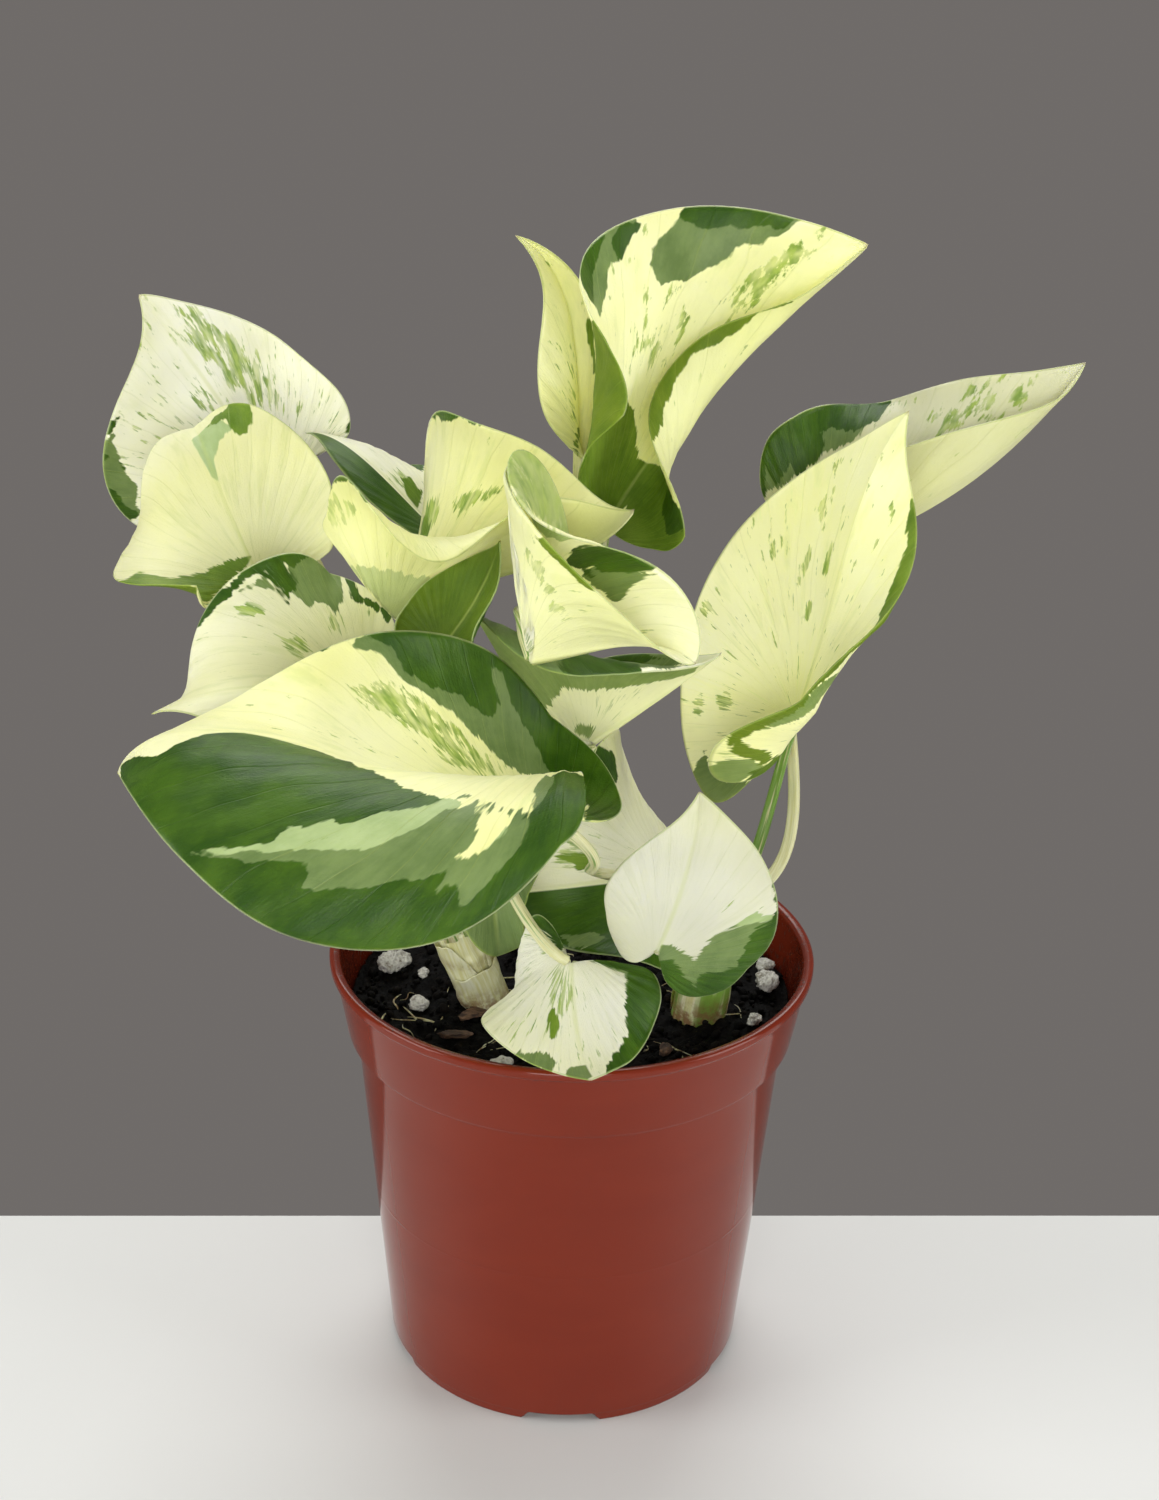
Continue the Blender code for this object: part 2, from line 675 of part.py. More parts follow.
def build_stem(name, stem, finish):
    """A cutting with the swollen rings of its nodes."""
    t = np.linspace(0, 1, 15)
    path = np.array(stem.foot) + (np.array(stem.top) - np.array(stem.foot)) * t[:, None]
    radii = stem.radius[0] + (stem.radius[1] - stem.radius[0]) * t
    radii = radii - 0.25 * (1 + np.cos(t * 2 * math.pi * 2.0)) / 2
    points, faces = tube(path, radii, 18)
    return add_mesh(name, points, faces, finish)


def petiole_end(leaf, sheet, way, radius):
    """Walk out from the joint until the petiole's round end clears the blade."""
    clear = 0.6 * radius + BLADE / 2 + JOINT_GAP
    step = 0.5
    while step < 12.0:
        spot = np.array(leaf.base) + way * step
        if np.linalg.norm(sheet - spot, axis=1).min() > clear:
            return spot
        step += 0.05
    return spot


def petiole_path(name, petiole):
    leaf = LEAVES["leaf_" + name]
    stem = STEMS[petiole.stem]
    heading = stem_heading(stem)
    x = np.cross((0.0, 1.0, 0.0), heading)
    x /= np.linalg.norm(x)
    y = np.cross(heading, x)
    spot = np.array(stem.top) + x * petiole.place[0] + y * petiole.place[1]
    start = spot + heading * (stem.radius[1] * 0.35 + JOINT_GAP + PETIOLE_FOOT * 0.36)
    sheet, _, _ = blade_sheet(leaf, 49, 15)
    way = -np.array(petiole.reach, float)
    way /= np.linalg.norm(way)
    end = petiole_end(leaf, sheet, way, PETIOLE_TIP)
    return bezier(start, start + np.array(petiole.rise), end + way * np.linalg.norm(petiole.reach), end, 14)


def build_petiole(name, petiole, finish):
    path = petiole_path(name, petiole)
    radii = PETIOLE_FOOT + (PETIOLE_TIP - PETIOLE_FOOT) * np.linspace(0, 1, len(path)) ** 0.7
    points, faces = tube(path, radii, 8)
    return add_mesh("petiole_" + name, points, faces, finish)


def build_leaf(name, leaf, finish):
    points, faces = thicken(*blade_sheet(leaf, RIBS, RAIL), BLADE)
    return add_mesh(name, points, faces, finish)


def lump(size, seed, sides, rows):
    """A rough stone-like lump standing on its flattened underside."""
    rng = np.random.default_rng(seed)
    points = [(0.0, 0.0, -0.5)]
    for row in range(1, rows):
        high = math.pi * row / rows
        for k in range(sides):
            turn = 2 * math.pi * (k + 0.5 * (row % 2)) / sides
            wide = math.sin(high) * rng.uniform(0.82, 1.0) * 0.5
            level = max(-0.5 * math.cos(high), -0.42) if row > 1 else -0.5
            points.append((wide * math.cos(turn), wide * math.sin(turn), level))
    points.append((0.0, 0.0, 0.46))
    points = np.array(points) * size
    last = len(points) - 1
    faces = []
    for k in range(sides):
        n = (k + 1) % sides
        faces.append([0, 1 + n, 1 + k])
        faces.append([last, last - sides + k, last - sides + n])
        for row in range(rows - 2):
            a = 1 + row * sides
            faces.append([a + k, a + n, a + sides + n, a + sides + k])
    return points, faces


def build_grit(name, grit, finish):
    points, faces = lump(np.array(grit.size, float), grit.seed, 9, 5)
    turn = math.radians(grit.turn)
    spin = np.array([[math.cos(turn), -math.sin(turn), 0], [math.sin(turn), math.cos(turn), 0], [0, 0, 1]])
    points = points @ spin.T
    points[:, 2] += SOIL_TOP + JOINT_GAP - points[:, 2].min()
    points[:, :2] += grit.spot
    return add_mesh(name, points, faces, finish)


def main():
    clear_scene()
    pot = material("gloss_plastic_terracotta", (0.22, 0.04, 0.02), 0.25)
    soil = material("potting_mix", (0.01, 0.009, 0.008), 0.95)
    blade = material("leaf_blade", (0.55, 0.6, 0.3), 0.45)
    stalk = material("petiole", (0.6, 0.65, 0.3), 0.4)
    white = material("perlite", (0.75, 0.7, 0.62), 0.9)
    brown = material("bark", (0.13, 0.06, 0.03), 0.9)
    build_pot(pot)
    build_soil(soil)
    for name, stem in STEMS.items():
        build_stem(name, stem, stalk)
    for name, leaf in LEAVES.items():
        build_leaf(name, leaf, blade)
    for name, petiole in PETIOLES.items():
        build_petiole(name, petiole, stalk)
    for name, grit in GRIT.items():
        build_grit(name, grit, white if name.startswith("perlite") else brown)


main()
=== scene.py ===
"""Potted pothos: marbled heart leaves on pale stalks, in a glossy nursery pot of dark mix.

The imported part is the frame.  Every visible piece here is a numpy surface worked out in millimetres
and stored in metres, dressed with procedural finishes, and rides on the part's single body.
"""

from __future__ import annotations

import logging
import math
from dataclasses import dataclass
from enum import Enum

import bpy
import numpy as np
from mathutils import Matrix, Vector


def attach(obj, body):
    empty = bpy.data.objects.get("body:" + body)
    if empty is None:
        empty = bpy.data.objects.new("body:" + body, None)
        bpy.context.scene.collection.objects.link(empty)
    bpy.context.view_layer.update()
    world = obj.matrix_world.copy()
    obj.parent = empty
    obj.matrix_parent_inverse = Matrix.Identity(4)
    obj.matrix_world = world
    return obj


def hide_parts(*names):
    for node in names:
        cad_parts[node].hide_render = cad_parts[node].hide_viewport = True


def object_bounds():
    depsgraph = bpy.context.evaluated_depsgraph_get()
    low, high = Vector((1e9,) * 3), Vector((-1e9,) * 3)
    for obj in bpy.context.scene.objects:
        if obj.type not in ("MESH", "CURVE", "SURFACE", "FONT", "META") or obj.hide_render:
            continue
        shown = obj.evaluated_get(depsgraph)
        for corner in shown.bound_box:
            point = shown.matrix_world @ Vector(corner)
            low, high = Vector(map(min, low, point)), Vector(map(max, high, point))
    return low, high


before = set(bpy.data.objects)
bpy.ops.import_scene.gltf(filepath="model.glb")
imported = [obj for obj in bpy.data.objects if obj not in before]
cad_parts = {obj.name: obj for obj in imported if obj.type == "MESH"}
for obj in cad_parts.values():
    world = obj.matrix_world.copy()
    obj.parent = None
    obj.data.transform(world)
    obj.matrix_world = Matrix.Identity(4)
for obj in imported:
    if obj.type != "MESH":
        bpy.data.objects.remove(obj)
CAD_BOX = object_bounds()

LOG = logging.getLogger("pothos")
MM = 0.001
BODY = "root"

Piece = bpy.types.Object
Node = bpy.types.Node
Socket = bpy.types.NodeSocket
Value = object
Array = np.ndarray
Pair = tuple[float, float]
Triple = tuple[float, float, float]
Colour = Triple
Surface = tuple[Array, Array, dict[str, Array]]


# ---- Meshes


def inside_box(points: Array) -> Array:
    """Points in millimetres, with any coordinate past the frame's box brought back to it."""
    low, high = (np.array(corner) / MM for corner in CAD_BOX)
    return np.clip(points, low, high)


def make_mesh(name: str, points: Array, faces: Array, values: dict[str, Array] | None = None) -> Piece:
    """Puts points and triangles into a smooth mesh object at the origin, unturned.

    Args:
        name: The piece's name.
        points: Rows of x, y, z in millimetres.
        faces: Rows of three point numbers.
        values: Named values per point, one column each or three for a vector.

    Returns:
        The object.
    """
    mesh = bpy.data.meshes.new(name)
    mesh.vertices.add(len(points))
    mesh.vertices.foreach_set("co", (inside_box(points) * MM).astype(np.float32).ravel())
    mesh.loops.add(faces.size)
    mesh.loops.foreach_set("vertex_index", faces.astype(np.int32).ravel())
    mesh.polygons.add(len(faces))
    mesh.polygons.foreach_set("loop_start", np.arange(len(faces), dtype=np.int32) * 3)
    mesh.update(calc_edges=True)
    mesh.validate()
    for key, data in (values or {}).items():
        flat = np.asarray(data, np.float32)
        vector = flat.ndim == 2
        made = mesh.attributes.new(key, "FLOAT_VECTOR" if vector else "FLOAT", "POINT")
        made.data.foreach_set("vector" if vector else "value", flat.ravel())
    mesh.shade_smooth()
    return placed(name, mesh)


def placed(name: str, data: bpy.types.ID) -> Piece:
    """A new object of this data, in the scene."""
    obj = bpy.data.objects.new(name, data)
    bpy.context.scene.collection.objects.link(obj)
    return obj


def settle(obj: Piece, finish: str, slot: str, *nodes: str) -> None:
    """Dresses a piece and seats it on the body, for the frame's nodes that it stands for.

    Args:
        obj: The piece.
        finish: Name of its material.
        slot: The record's material slot, which is only written to the log.
        nodes: Names of the frame's nodes that it replaces.
    """
    obj.data.materials.append(bpy.data.materials[finish])
    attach(obj, BODY)
    if nodes:
        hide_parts(*nodes)
    LOG.info("%s: %d faces, slot %s", obj.name, len(obj.data.polygons), slot)


def turns(count: int) -> Array:
    """Angles of points spaced evenly round a circle."""
    return np.arange(count) * math.tau / count


def ring_faces(rows: int, around: int) -> Array:
    """Quads of a grid of rows that each close on themselves.

    Args:
        rows: Number of rings.
        around: Points on each ring.

    Returns:
        Rows of four point numbers.
    """
    first = np.arange((rows - 1) * around).reshape(rows - 1, around)
    following = np.roll(first, -1, axis=1)
    return np.stack([first, following, following + around, first + around], -1).reshape(-1, 4)


def as_triangles(quads: Array) -> Array:
    """Two triangles for each quad, without the ones that a pole has flattened.

    Args:
        quads: Rows of four point numbers.

    Returns:
        Rows of three different point numbers.
    """
    halves = np.vstack([quads[:, [0, 1, 2]], quads[:, [0, 2, 3]]])
    a, b, c = halves.T
    return halves[(a != b) & (b != c) & (c != a)]


def closed_rings(rows: int, around: int, inward: bool = False) -> tuple[Array, Array]:
    """The skin of a grid of rings whose first and last rings are each one point.

    Args:
        rows: Number of rings.
        around: Points on each ring.
        inward: Whether each face is turned over.

    Returns:
        Numbers of the grid's points that the skin uses, and its triangles among them.
    """
    number = np.arange(rows * around).reshape(rows, around)
    number[0], number[-1] = number[0, 0], number[-1, 0]
    quads = number.ravel()[ring_faces(rows, around)]
    used, faces = np.unique(as_triangles(quads[:, ::-1] if inward else quads), return_inverse=True)
    return used, faces.reshape(-1, 3)


def join(parts: list[Surface]) -> Surface:
    """Several surfaces as one set of points, faces and values.

    Args:
        parts: Points, faces and values of each surface, with the same value names.

    Returns:
        The points, faces and values together.
    """
    starts = np.cumsum([0] + [len(points) for points, _, _ in parts])
    points = np.vstack([points for points, _, _ in parts])
    faces = np.vstack([faces + start for (_, faces, _), start in zip(parts, starts)])
    values = {key: np.concatenate([part[2][key] for part in parts]) for key in parts[0][2]}
    return points, faces, values


def ripples(x: Array, y: Array, seed: int, scale: float, octaves: int = 3) -> Array:
    """A smooth uneven height: a sum of sine waves of random heading, each octave finer and weaker.

    Args:
        x: First coordinate, of any shape.
        y: Second coordinate, of the same shape.
        seed: Picks the waves.
        scale: Length of the longest waves.
        octaves: How many times they get finer.

    Returns:
        Heights of about -1 to 1.
    """
    rng = np.random.default_rng(seed)
    total = np.zeros(np.broadcast(x, y).shape)
    for octave in range(octaves):
        for _ in range(4):
            heading, phase = rng.uniform(0, math.tau, 2)
            rate = math.tau * 1.9**octave / scale * rng.uniform(0.7, 1.3)
            wave = np.sin(rate * (x * math.cos(heading) + y * math.sin(heading)) + phase)
            total = total + wave * 0.55**octave / 2.6
    return total


def rounded_lump(size: Array, seed: int, around: int, rows: int, rough: float) -> tuple[Array, Array]:
    """An angular crumb: a sphere grid cut by random planes.

    Args:
        size: Full size along x, y and z in millimetres.
        seed: Picks the planes.
        around: Points on each ring.
        rows: Rings from pole to pole.
        rough: Depth of its fine ripples, as a share of the radius.

    Returns:
        Points about the origin, and triangles.
    """
    rng = np.random.default_rng(seed)
    high = np.linspace(0, math.pi, rows)[:, None]
    turn = turns(around)[None]
    ways = np.stack(
        [np.sin(high) * np.cos(turn), np.sin(high) * np.sin(turn), -np.cos(high) + 0 * turn], -1
    )
    planes = unit(rng.normal(size=(9, 3)))
    reach = rng.uniform(0.62, 0.95, 9)
    facing = np.maximum(ways @ planes.T, 1e-3)
    radius = np.minimum((reach / facing).min(-1), 1.0)
    radius = radius * (1 + rough * ripples(turn * 3 + 0 * high, high * 3 + 0 * turn, seed + 1, 2.0))
    radius[0], radius[-1] = radius[0].mean(), radius[-1].mean()
    points = ways * radius[..., None] * size / 2
    used, faces = closed_rings(rows, around)
    return points.reshape(-1, 3)[used], faces


def turning(axis: int, degrees: float) -> Array:
    """The matrix that turns rows of points about x, y or z, counted from 0, when it stands after them."""
    angle = math.radians(degrees)
    first, second = (axis + 1) % 3, (axis + 2) % 3
    made = np.eye(3)
    made[first, first] = made[second, second] = math.cos(angle)
    made[first, second], made[second, first] = math.sin(angle), -math.sin(angle)
    return made


def unit(ways: Array) -> Array:
    """Ways brought to a length of one."""
    return ways / np.maximum(np.linalg.norm(ways, axis=-1, keepdims=True), 1e-9)


def square_to(way: Array) -> tuple[Array, Array]:
    """Two ways square to each of these unit ways and to each other."""
    side = unit(np.cross(way, (0.31, 0.95, 0.05)))
    return side, np.cross(way, side)


def tube_grid(path: Array, radii: Array, around: int, section: Value = 1.0) -> Surface:
    """A closed tube: rings square to a path, with both ends drawn in to points.

    Args:
        path: Rows of x, y, z in millimetres.
        radii: Radius at each point of the path.
        around: Points on each ring.
        section: Share of the radius at each point of each ring.

    Returns:
        Points, triangles, and the values "along" (mm) and "turn" (0 to 1 round the ring).
    """
    rows = len(path)
    along = unit(np.gradient(path, axis=0))
    side, other = square_to(along)
    turn = turns(around)
    reach = radii[:, None] * section * np.ones(around)
    rings = (
        path[:, None]
        + (reach * np.cos(turn))[..., None] * side[:, None]
        + (reach * np.sin(turn))[..., None] * other[:, None]
    )
    start = path[:1] - along[:1] * radii[0] * 0.5
    end = path[-1:] + along[-1:] * radii[-1] * 0.5
    points = np.vstack([start, rings.reshape(-1, 3), end])
    near = 1 + np.arange(around)
    after = np.roll(near, -1)
    last = len(points) - 1
    shift = (rows - 1) * around
    caps = np.vstack(
        [
            np.stack([np.zeros(around, int), after, near], -1),
            np.stack([np.full(around, last), near + shift, after + shift], -1),
        ]
    )
    faces = np.vstack([as_triangles(ring_faces(rows, around) + 1), caps])
    length = np.r_[0, np.cumsum(np.linalg.norm(np.diff(path, axis=0), axis=1))]
    values = {
        "along": np.r_[0, np.repeat(length, around), length[-1]],
        "turn": np.r_[0, np.tile(turn / math.tau, rows), 0],
    }
    return points, faces, values


def bezier(corners: list, count: int) -> Array:
    """Points of a cubic curve through its first and last corner, drawn towards the two between.

    Args:
        corners: Four places.
        count: How many points.

    Returns:
        Rows of x, y, z.
    """
    t = np.linspace(0.0, 1.0, count)[:, None]
    a, b, c, d = (np.asarray(v, float) for v in corners)
    return a * (1 - t) ** 3 + 3 * b * t * (1 - t) ** 2 + 3 * c * t**2 * (1 - t) + d * t**3


def bell(x: Array, middle: float, width: float) -> Array:
    """A bell curve, 1 at the middle and a third of that the width away."""
    return np.exp(-(((x - middle) / width) ** 2))


def smooth(low: float, high: float, x: Array) -> Array:
    """The usual smooth step from 0 at low to 1 at high."""
    s = np.clip((x - low) / (high - low), 0, 1)
    return s * s * (3 - 2 * s)


# ---- Shader building


class Kit:
    """Adds nodes to one tree, each call giving back the socket that later calls may read."""

    def __init__(self, tree: bpy.types.NodeTree) -> None:
        """Works on this tree."""
        self.tree = tree

    def node(self, kind: str, **settings: Value) -> Node:
        """A new node of a kind, with its named settings."""
        made = self.tree.nodes.new(kind)
        for key, setting in settings.items():
            setattr(made, key, setting)
        return made

    def feed(self, socket: Socket, value: Value) -> None:
        """Links a socket to an input, or sets the input to a plain value."""
        if isinstance(value, bpy.types.NodeSocket):
            self.tree.links.new(value, socket)
        elif socket.type == "RGBA":
            socket.default_value = (*value, 1.0)[:4]
        else:
            socket.default_value = value

    def feed_all(self, node: Node, **values: Value) -> None:
        """Feeds a node's inputs by name; underscores stand for spaces."""
        for key, value in values.items():
            self.feed(node.inputs[key.replace("_", " ").title()], value)

    def number(self, name: str) -> Socket:
        """The mesh's named value."""
        return self.node("ShaderNodeAttribute", attribute_name=name).outputs["Fac"]

    def vector(self, name: str) -> Socket:
        """The mesh's named vector."""
        return self.node("ShaderNodeAttribute", attribute_name=name).outputs["Vector"]

    def place(self) -> Socket:
        """Object coordinates, in metres."""
        return self.node("ShaderNodeTexCoord").outputs["Object"]

    def split(self, vector: Value) -> tuple[Socket, ...]:
        """The three parts of a vector."""
        made = self.node("ShaderNodeSeparateXYZ")
        self.feed(made.inputs[0], vector)
        return tuple(made.outputs)

    def math(self, operation: str, *values: Value, clamp: bool = False) -> Socket:
        """A sum, product or other operation on one to three numbers."""
        made = self.node("ShaderNodeMath", operation=operation, use_clamp=clamp)
        for socket, value in zip(made.inputs, values):
            self.feed(socket, value)
        return made.outputs[0]

    def times(self, first: Value, second: Value) -> Socket:
        """The product of two numbers."""
        return self.math("MULTIPLY", first, second)

    def plus(self, first: Value, second: Value, clamp: bool = False) -> Socket:
        """The sum of two numbers."""
        return self.math("ADD", first, second, clamp=clamp)

    def minus(self, first: Value, second: Value) -> Socket:
        """The first number less the second."""
        return self.math("SUBTRACT", first, second)

    def rest_of(self, share: Value) -> Socket:
        """What a share leaves of one."""
        return self.math("SUBTRACT", 1.0, share)

    def linear(self, value: Value, gain: Value, start: Value, clamp: bool = False) -> Socket:
        """A number times a gain, from a start."""
        return self.math("MULTIPLY_ADD", value, gain, start, clamp=clamp)

    def scaled(self, vector: Value, factors: Triple) -> Socket:
        """A vector with each part multiplied."""
        made = self.node("ShaderNodeVectorMath", operation="MULTIPLY")
        self.feed(made.inputs[0], vector)
        self.feed(made.inputs[1], factors)
        return made.outputs[0]

    def step(self, value: Value, low: Value, high: Value) -> Socket:
        """A smooth step from 0 at low to 1 at high."""
        made = self.node("ShaderNodeMapRange", interpolation_type="SMOOTHSTEP")
        self.feed_all(made, value=value, from_min=low, from_max=high)
        return made.outputs[0]

    def noise(
        self, vector: Value, scale: Value, detail: float = 2.0, rough: float = 0.5, bend: float = 0.0
    ) -> Socket:
        """Cloudy noise of 0 to 1, centred on a half; a scale for each axis stretches it."""
        if isinstance(scale, tuple):
            vector, scale = self.scaled(vector, scale), 1.0
        made = self.node("ShaderNodeTexNoise")
        self.feed_all(made, vector=vector, scale=scale, detail=detail, roughness=rough, distortion=bend)
        return made.outputs["Fac"]

    def cells(self, vector: Value, scale: float) -> Socket:
        """Distance to the nearest of a scatter of points."""
        made = self.node("ShaderNodeTexVoronoi")
        self.feed_all(made, vector=vector, scale=scale)
        return made.outputs["Distance"]

    def mix(self, share: Value, first: Value, second: Value, how: str = "MIX") -> Socket:
        """Two colours mixed, the second by that share."""
        made = self.node("ShaderNodeMix", data_type="RGBA", blend_type=how)
        self.feed(made.inputs["Factor"], share)
        self.feed(made.inputs[6], first)
        self.feed(made.inputs[7], second)
        return made.outputs[2]

    def bump(self, height: Value, strength: float, depth: float) -> Socket:
        """Normals of a surface raised by a height, depth metres at 1."""
        made = self.node("ShaderNodeBump")
        self.feed_all(made, height=height, strength=strength, distance=depth)
        return made.outputs["Normal"]

    def group(self, name: str, **values: Value) -> Node:
        """A node of a shared group, with its inputs set by name."""
        made = self.node("ShaderNodeGroup", node_tree=bpy.data.node_groups[name])
        self.feed_all(made, **values)
        return made

    def dress(self, shader: Node, specular: float = 0.5, **values: Value) -> None:
        """Feeds a material's shader: its specular level, and its other inputs by name."""
        self.feed_all(shader, **values)
        shader.inputs["Specular IOR Level"].default_value = specular


def new_group(name: str, inputs: dict[str, str], outputs: dict[str, str]) -> tuple[Kit, dict, dict]:
    """An empty shader group.

    Args:
        name: Its name.
        inputs: Socket kind ("Float", "Vector" or "Color") for each input's name.
        outputs: The same for its outputs.

    Returns:
        A kit for its tree, its input sockets to read and its output sockets to feed.
    """
    tree = bpy.data.node_groups.new(name, "ShaderNodeTree")
    for way, sockets in (("INPUT", inputs), ("OUTPUT", outputs)):
        for key, kind in sockets.items():
            tree.interface.new_socket(key, in_out=way, socket_type="NodeSocket" + kind)
    kit = Kit(tree)
    start = kit.node("NodeGroupInput")
    end = kit.node("NodeGroupOutput")
    return kit, {key: start.outputs[key] for key in inputs}, {key: end.inputs[key] for key in outputs}


def new_material(name: str) -> tuple[Kit, Node]:
    """A new material's kit and its one Principled shader."""
    made = bpy.data.materials.new(name)
    made.use_nodes = True
    return Kit(made.node_tree), made.node_tree.nodes["Principled BSDF"]


def build_torn_edge() -> None:
    """Group "torn edge": where a field in millimetres is above zero, its outline torn along the veins."""
    kit, read, give = new_group(
        "torn edge",
        {"Field": "Float", "Along Vein": "Vector", "Tear": "Float", "Soft": "Float"},
        {"Mask": "Float"},
    )
    long_teeth = kit.noise(read["Along Vein"], (0.34, 0.10, 1.0), 2.0, 0.55)
    short_teeth = kit.noise(read["Along Vein"], (1.3, 0.45, 1.0), 1.0, 0.5)
    tear = kit.plus(kit.minus(long_teeth, 0.5), kit.times(short_teeth, 0.3))
    moved = kit.linear(kit.minus(tear, 0.15), read["Tear"], read["Field"])
    kit.feed(give["Mask"], kit.step(moved, kit.times(read["Soft"], -1.0), read["Soft"]))


def build_flecks() -> None:
    """Group "flecks": short strokes along the veins, more of them where the density is high."""
    kit, read, give = new_group(
        "flecks",
        {"Density": "Float", "Along Vein": "Vector", "Sharp": "Float"},
        {"Mask": "Float"},
    )
    strokes = kit.noise(read["Along Vein"], (0.95, 0.24, 1.0), 3.0, 0.62)
    bold = kit.noise(read["Along Vein"], (0.42, 0.13, 1.0), 2.0, 0.5)
    level = kit.linear(strokes, 0.5, kit.times(bold, 0.5))
    edge = kit.minus(0.65, kit.times(read["Density"], 0.25))
    soft = kit.math("DIVIDE", 0.05, read["Sharp"])
    kit.feed(give["Mask"], kit.step(level, edge, kit.plus(edge, soft)))


def build_grain() -> None:
    """Group "grain": fine unevenness about zero, of a scale and a share of coarse clouds."""
    kit, read, give = new_group("grain", {"Vector": "Vector", "Coarse": "Float"}, {"Value": "Float"})
    fine = kit.noise(read["Vector"], 1.0, 3.0, 0.6)
    broad = kit.noise(read["Vector"], 0.17, 1.0, 0.5)
    mixed = kit.linear(kit.minus(broad, fine), read["Coarse"], fine)
    kit.feed(give["Value"], kit.minus(mixed, 0.5))


# ---- Leaves


class Tint(Enum):
    """The tones that lie over a leaf's cream ground, palest first; a later one covers an earlier one."""

    PALE = "pale"
    SAGE = "sage"
    FERN = "fern"
    DARK = "dark"


PALE, SAGE, FERN, DARK = Tint


@dataclass(frozen=True)
class Patch:
    """An area of one tint, or where it isn't kept, a hole in the others of its tint.

    The outline gives its corners in turn, each by hundredths of the blade's length and of its half
    width, left side positive.
    """

    tint: Tint
    outline: tuple[int, ...]
    kept: bool = True


@dataclass(frozen=True)
class Flecks:
    """A soft oval cloud of green strokes: its middle and reach in a patch's units, and its density to 100."""

    along: int
    across: int
    reach_along: int
    reach_across: int
    density: int


@dataclass
class Blade:
    """One heart-shaped blade: where its stalk joins, which way it points and how it bends.

    Lengths are millimetres and angles degrees; pairs are the left half's value and the right's.
    """

    base: Triple
    heading: float
    pitch: float
    roll: float
    length: float
    half_width: Pair
    lobe: Pair
    arch: float
    droop: float
    sway: float
    twist: float
    fold: tuple[Pair, Pair]
    curl: tuple[Triple, Triple]
    lobe_lift: Pair

    def flat(self, side: int, rows: int, rails: int) -> tuple[Array, Array, Array]:
        """One half laid flat: ribs from the midrib to a smooth curve through the margin's keys.

        Args:
            side: 1 for the left half, -1 for the right.
            rows: Ribs from the notch to the tip.
            rails: Points on each rib, closer together at its ends.

        Returns:
            Grids of the distance along the midrib, the distance off it, and the share of the rib.
        """
        which = int(side < 0)
        keys = np.array(MARGIN)
        reach = np.where(keys[:, 0] < 0, self.lobe[which], self.length)
        edge = through_keys(np.c_[keys[:, 0] * reach, keys[:, 1] * self.half_width[which]], rows)
        t = np.linspace(0, 1, rows)[:, None]
        root = self.length * np.clip((t - NOTCH_SHARE) / (1 - NOTCH_SHARE), 0, 1) ** 1.25
        even = np.linspace(0, 1, rails)
        v = 0.35 * even + 0.65 * (1 - np.cos(math.pi * even)) / 2
        return root + (edge[:, :1] - root) * v, edge[:, 1:] * v, np.broadcast_to(v, (rows, rails))

    def midrib(self) -> tuple[Array, ...]:
        """The midrib's stations, their places, and its arch, sway and twist there.

        The heading is integrated along the length: the arch grows evenly and the droop by the cube.
        """
        x = np.linspace(-30, self.length, 160)
        s = x / self.length
        arch = np.radians(self.arch * s + self.droop * np.maximum(s, 0) ** 3)
        yaw = np.radians(self.sway * s)
        turn = np.radians(self.twist * s)
        along = np.c_[np.cos(arch) * np.cos(yaw), np.cos(arch) * np.sin(yaw), -np.sin(arch)]
        steps = (along[1:] + along[:-1]) / 2 * np.diff(x)[:, None]
        place = np.vstack([np.zeros(3), np.cumsum(steps, axis=0)])
        place -= [np.interp(0, x, place[:, k]) for k in range(3)]
        return x, place, arch, yaw, turn

    def bend(self, x: Array, q: Array, side: int) -> Array:
        """Where flat points of one half lie on the bent blade.

        Each rib starts at the fold's angle and turns evenly with its curl, so a point is the integral
        of the rib's heading.  The lobe behind the stalk is lifted besides.

        Args:
            x: Distance along the midrib.
            q: Distance off it.
            side: 1 for the left half, -1 for the right.

        Returns:
            Grid of x, y, z in the blade's own axes.
        """
        which = int(side < 0)
        width = self.half_width[which]
        stations, place, arch, yaw, turn = self.midrib()
        on_rib = np.stack([np.interp(x, stations, place[:, k]) for k in range(3)], -1)
        arch, yaw, turn = (np.interp(x, stations, a) for a in (arch, yaw, turn))
        level = np.stack([-np.sin(yaw), np.cos(yaw), 0 * yaw], -1)
        up = np.stack([np.sin(arch) * np.cos(yaw), np.sin(arch) * np.sin(yaw), np.cos(arch)], -1)
        across = level * np.cos(turn)[..., None] + up * np.sin(turn)[..., None]
        normal = up * np.cos(turn)[..., None] - level * np.sin(turn)[..., None]
        s = np.clip(x / self.length, 0, 1)
        near, far = self.fold[which]
        foot, middle, tip = self.curl[which]
        fold = np.radians(near + (far - near) * s)
        curl = np.radians(foot * (1 - s) * (1 - 2 * s) + 4 * middle * s * (1 - s) + tip * s * (2 * s - 1))
        nodes, weights = np.polynomial.legendre.leggauss(8)
        share = (nodes + 1) / 2 * (q / width)[..., None]
        angle = fold[..., None] + curl[..., None] * share
        out = (np.cos(angle) * weights / 2).sum(-1)
        back = np.clip(-x, 0, None) * np.clip(q / width, 0, 1)
        lift = q * (np.sin(angle) * weights / 2).sum(-1)
        lift = lift + math.sin(math.radians(self.lobe_lift[which])) * back
        return on_rib + across * (side * q * out)[..., None] + normal * lift[..., None]

    def in_world(self, points: Array) -> Array:
        """Turns points by roll, pitch and heading and moves them to the stalk's joint."""
        turned = turning(0, self.roll) @ turning(1, -self.pitch) @ turning(2, self.heading)
        return points @ turned + np.array(self.base)


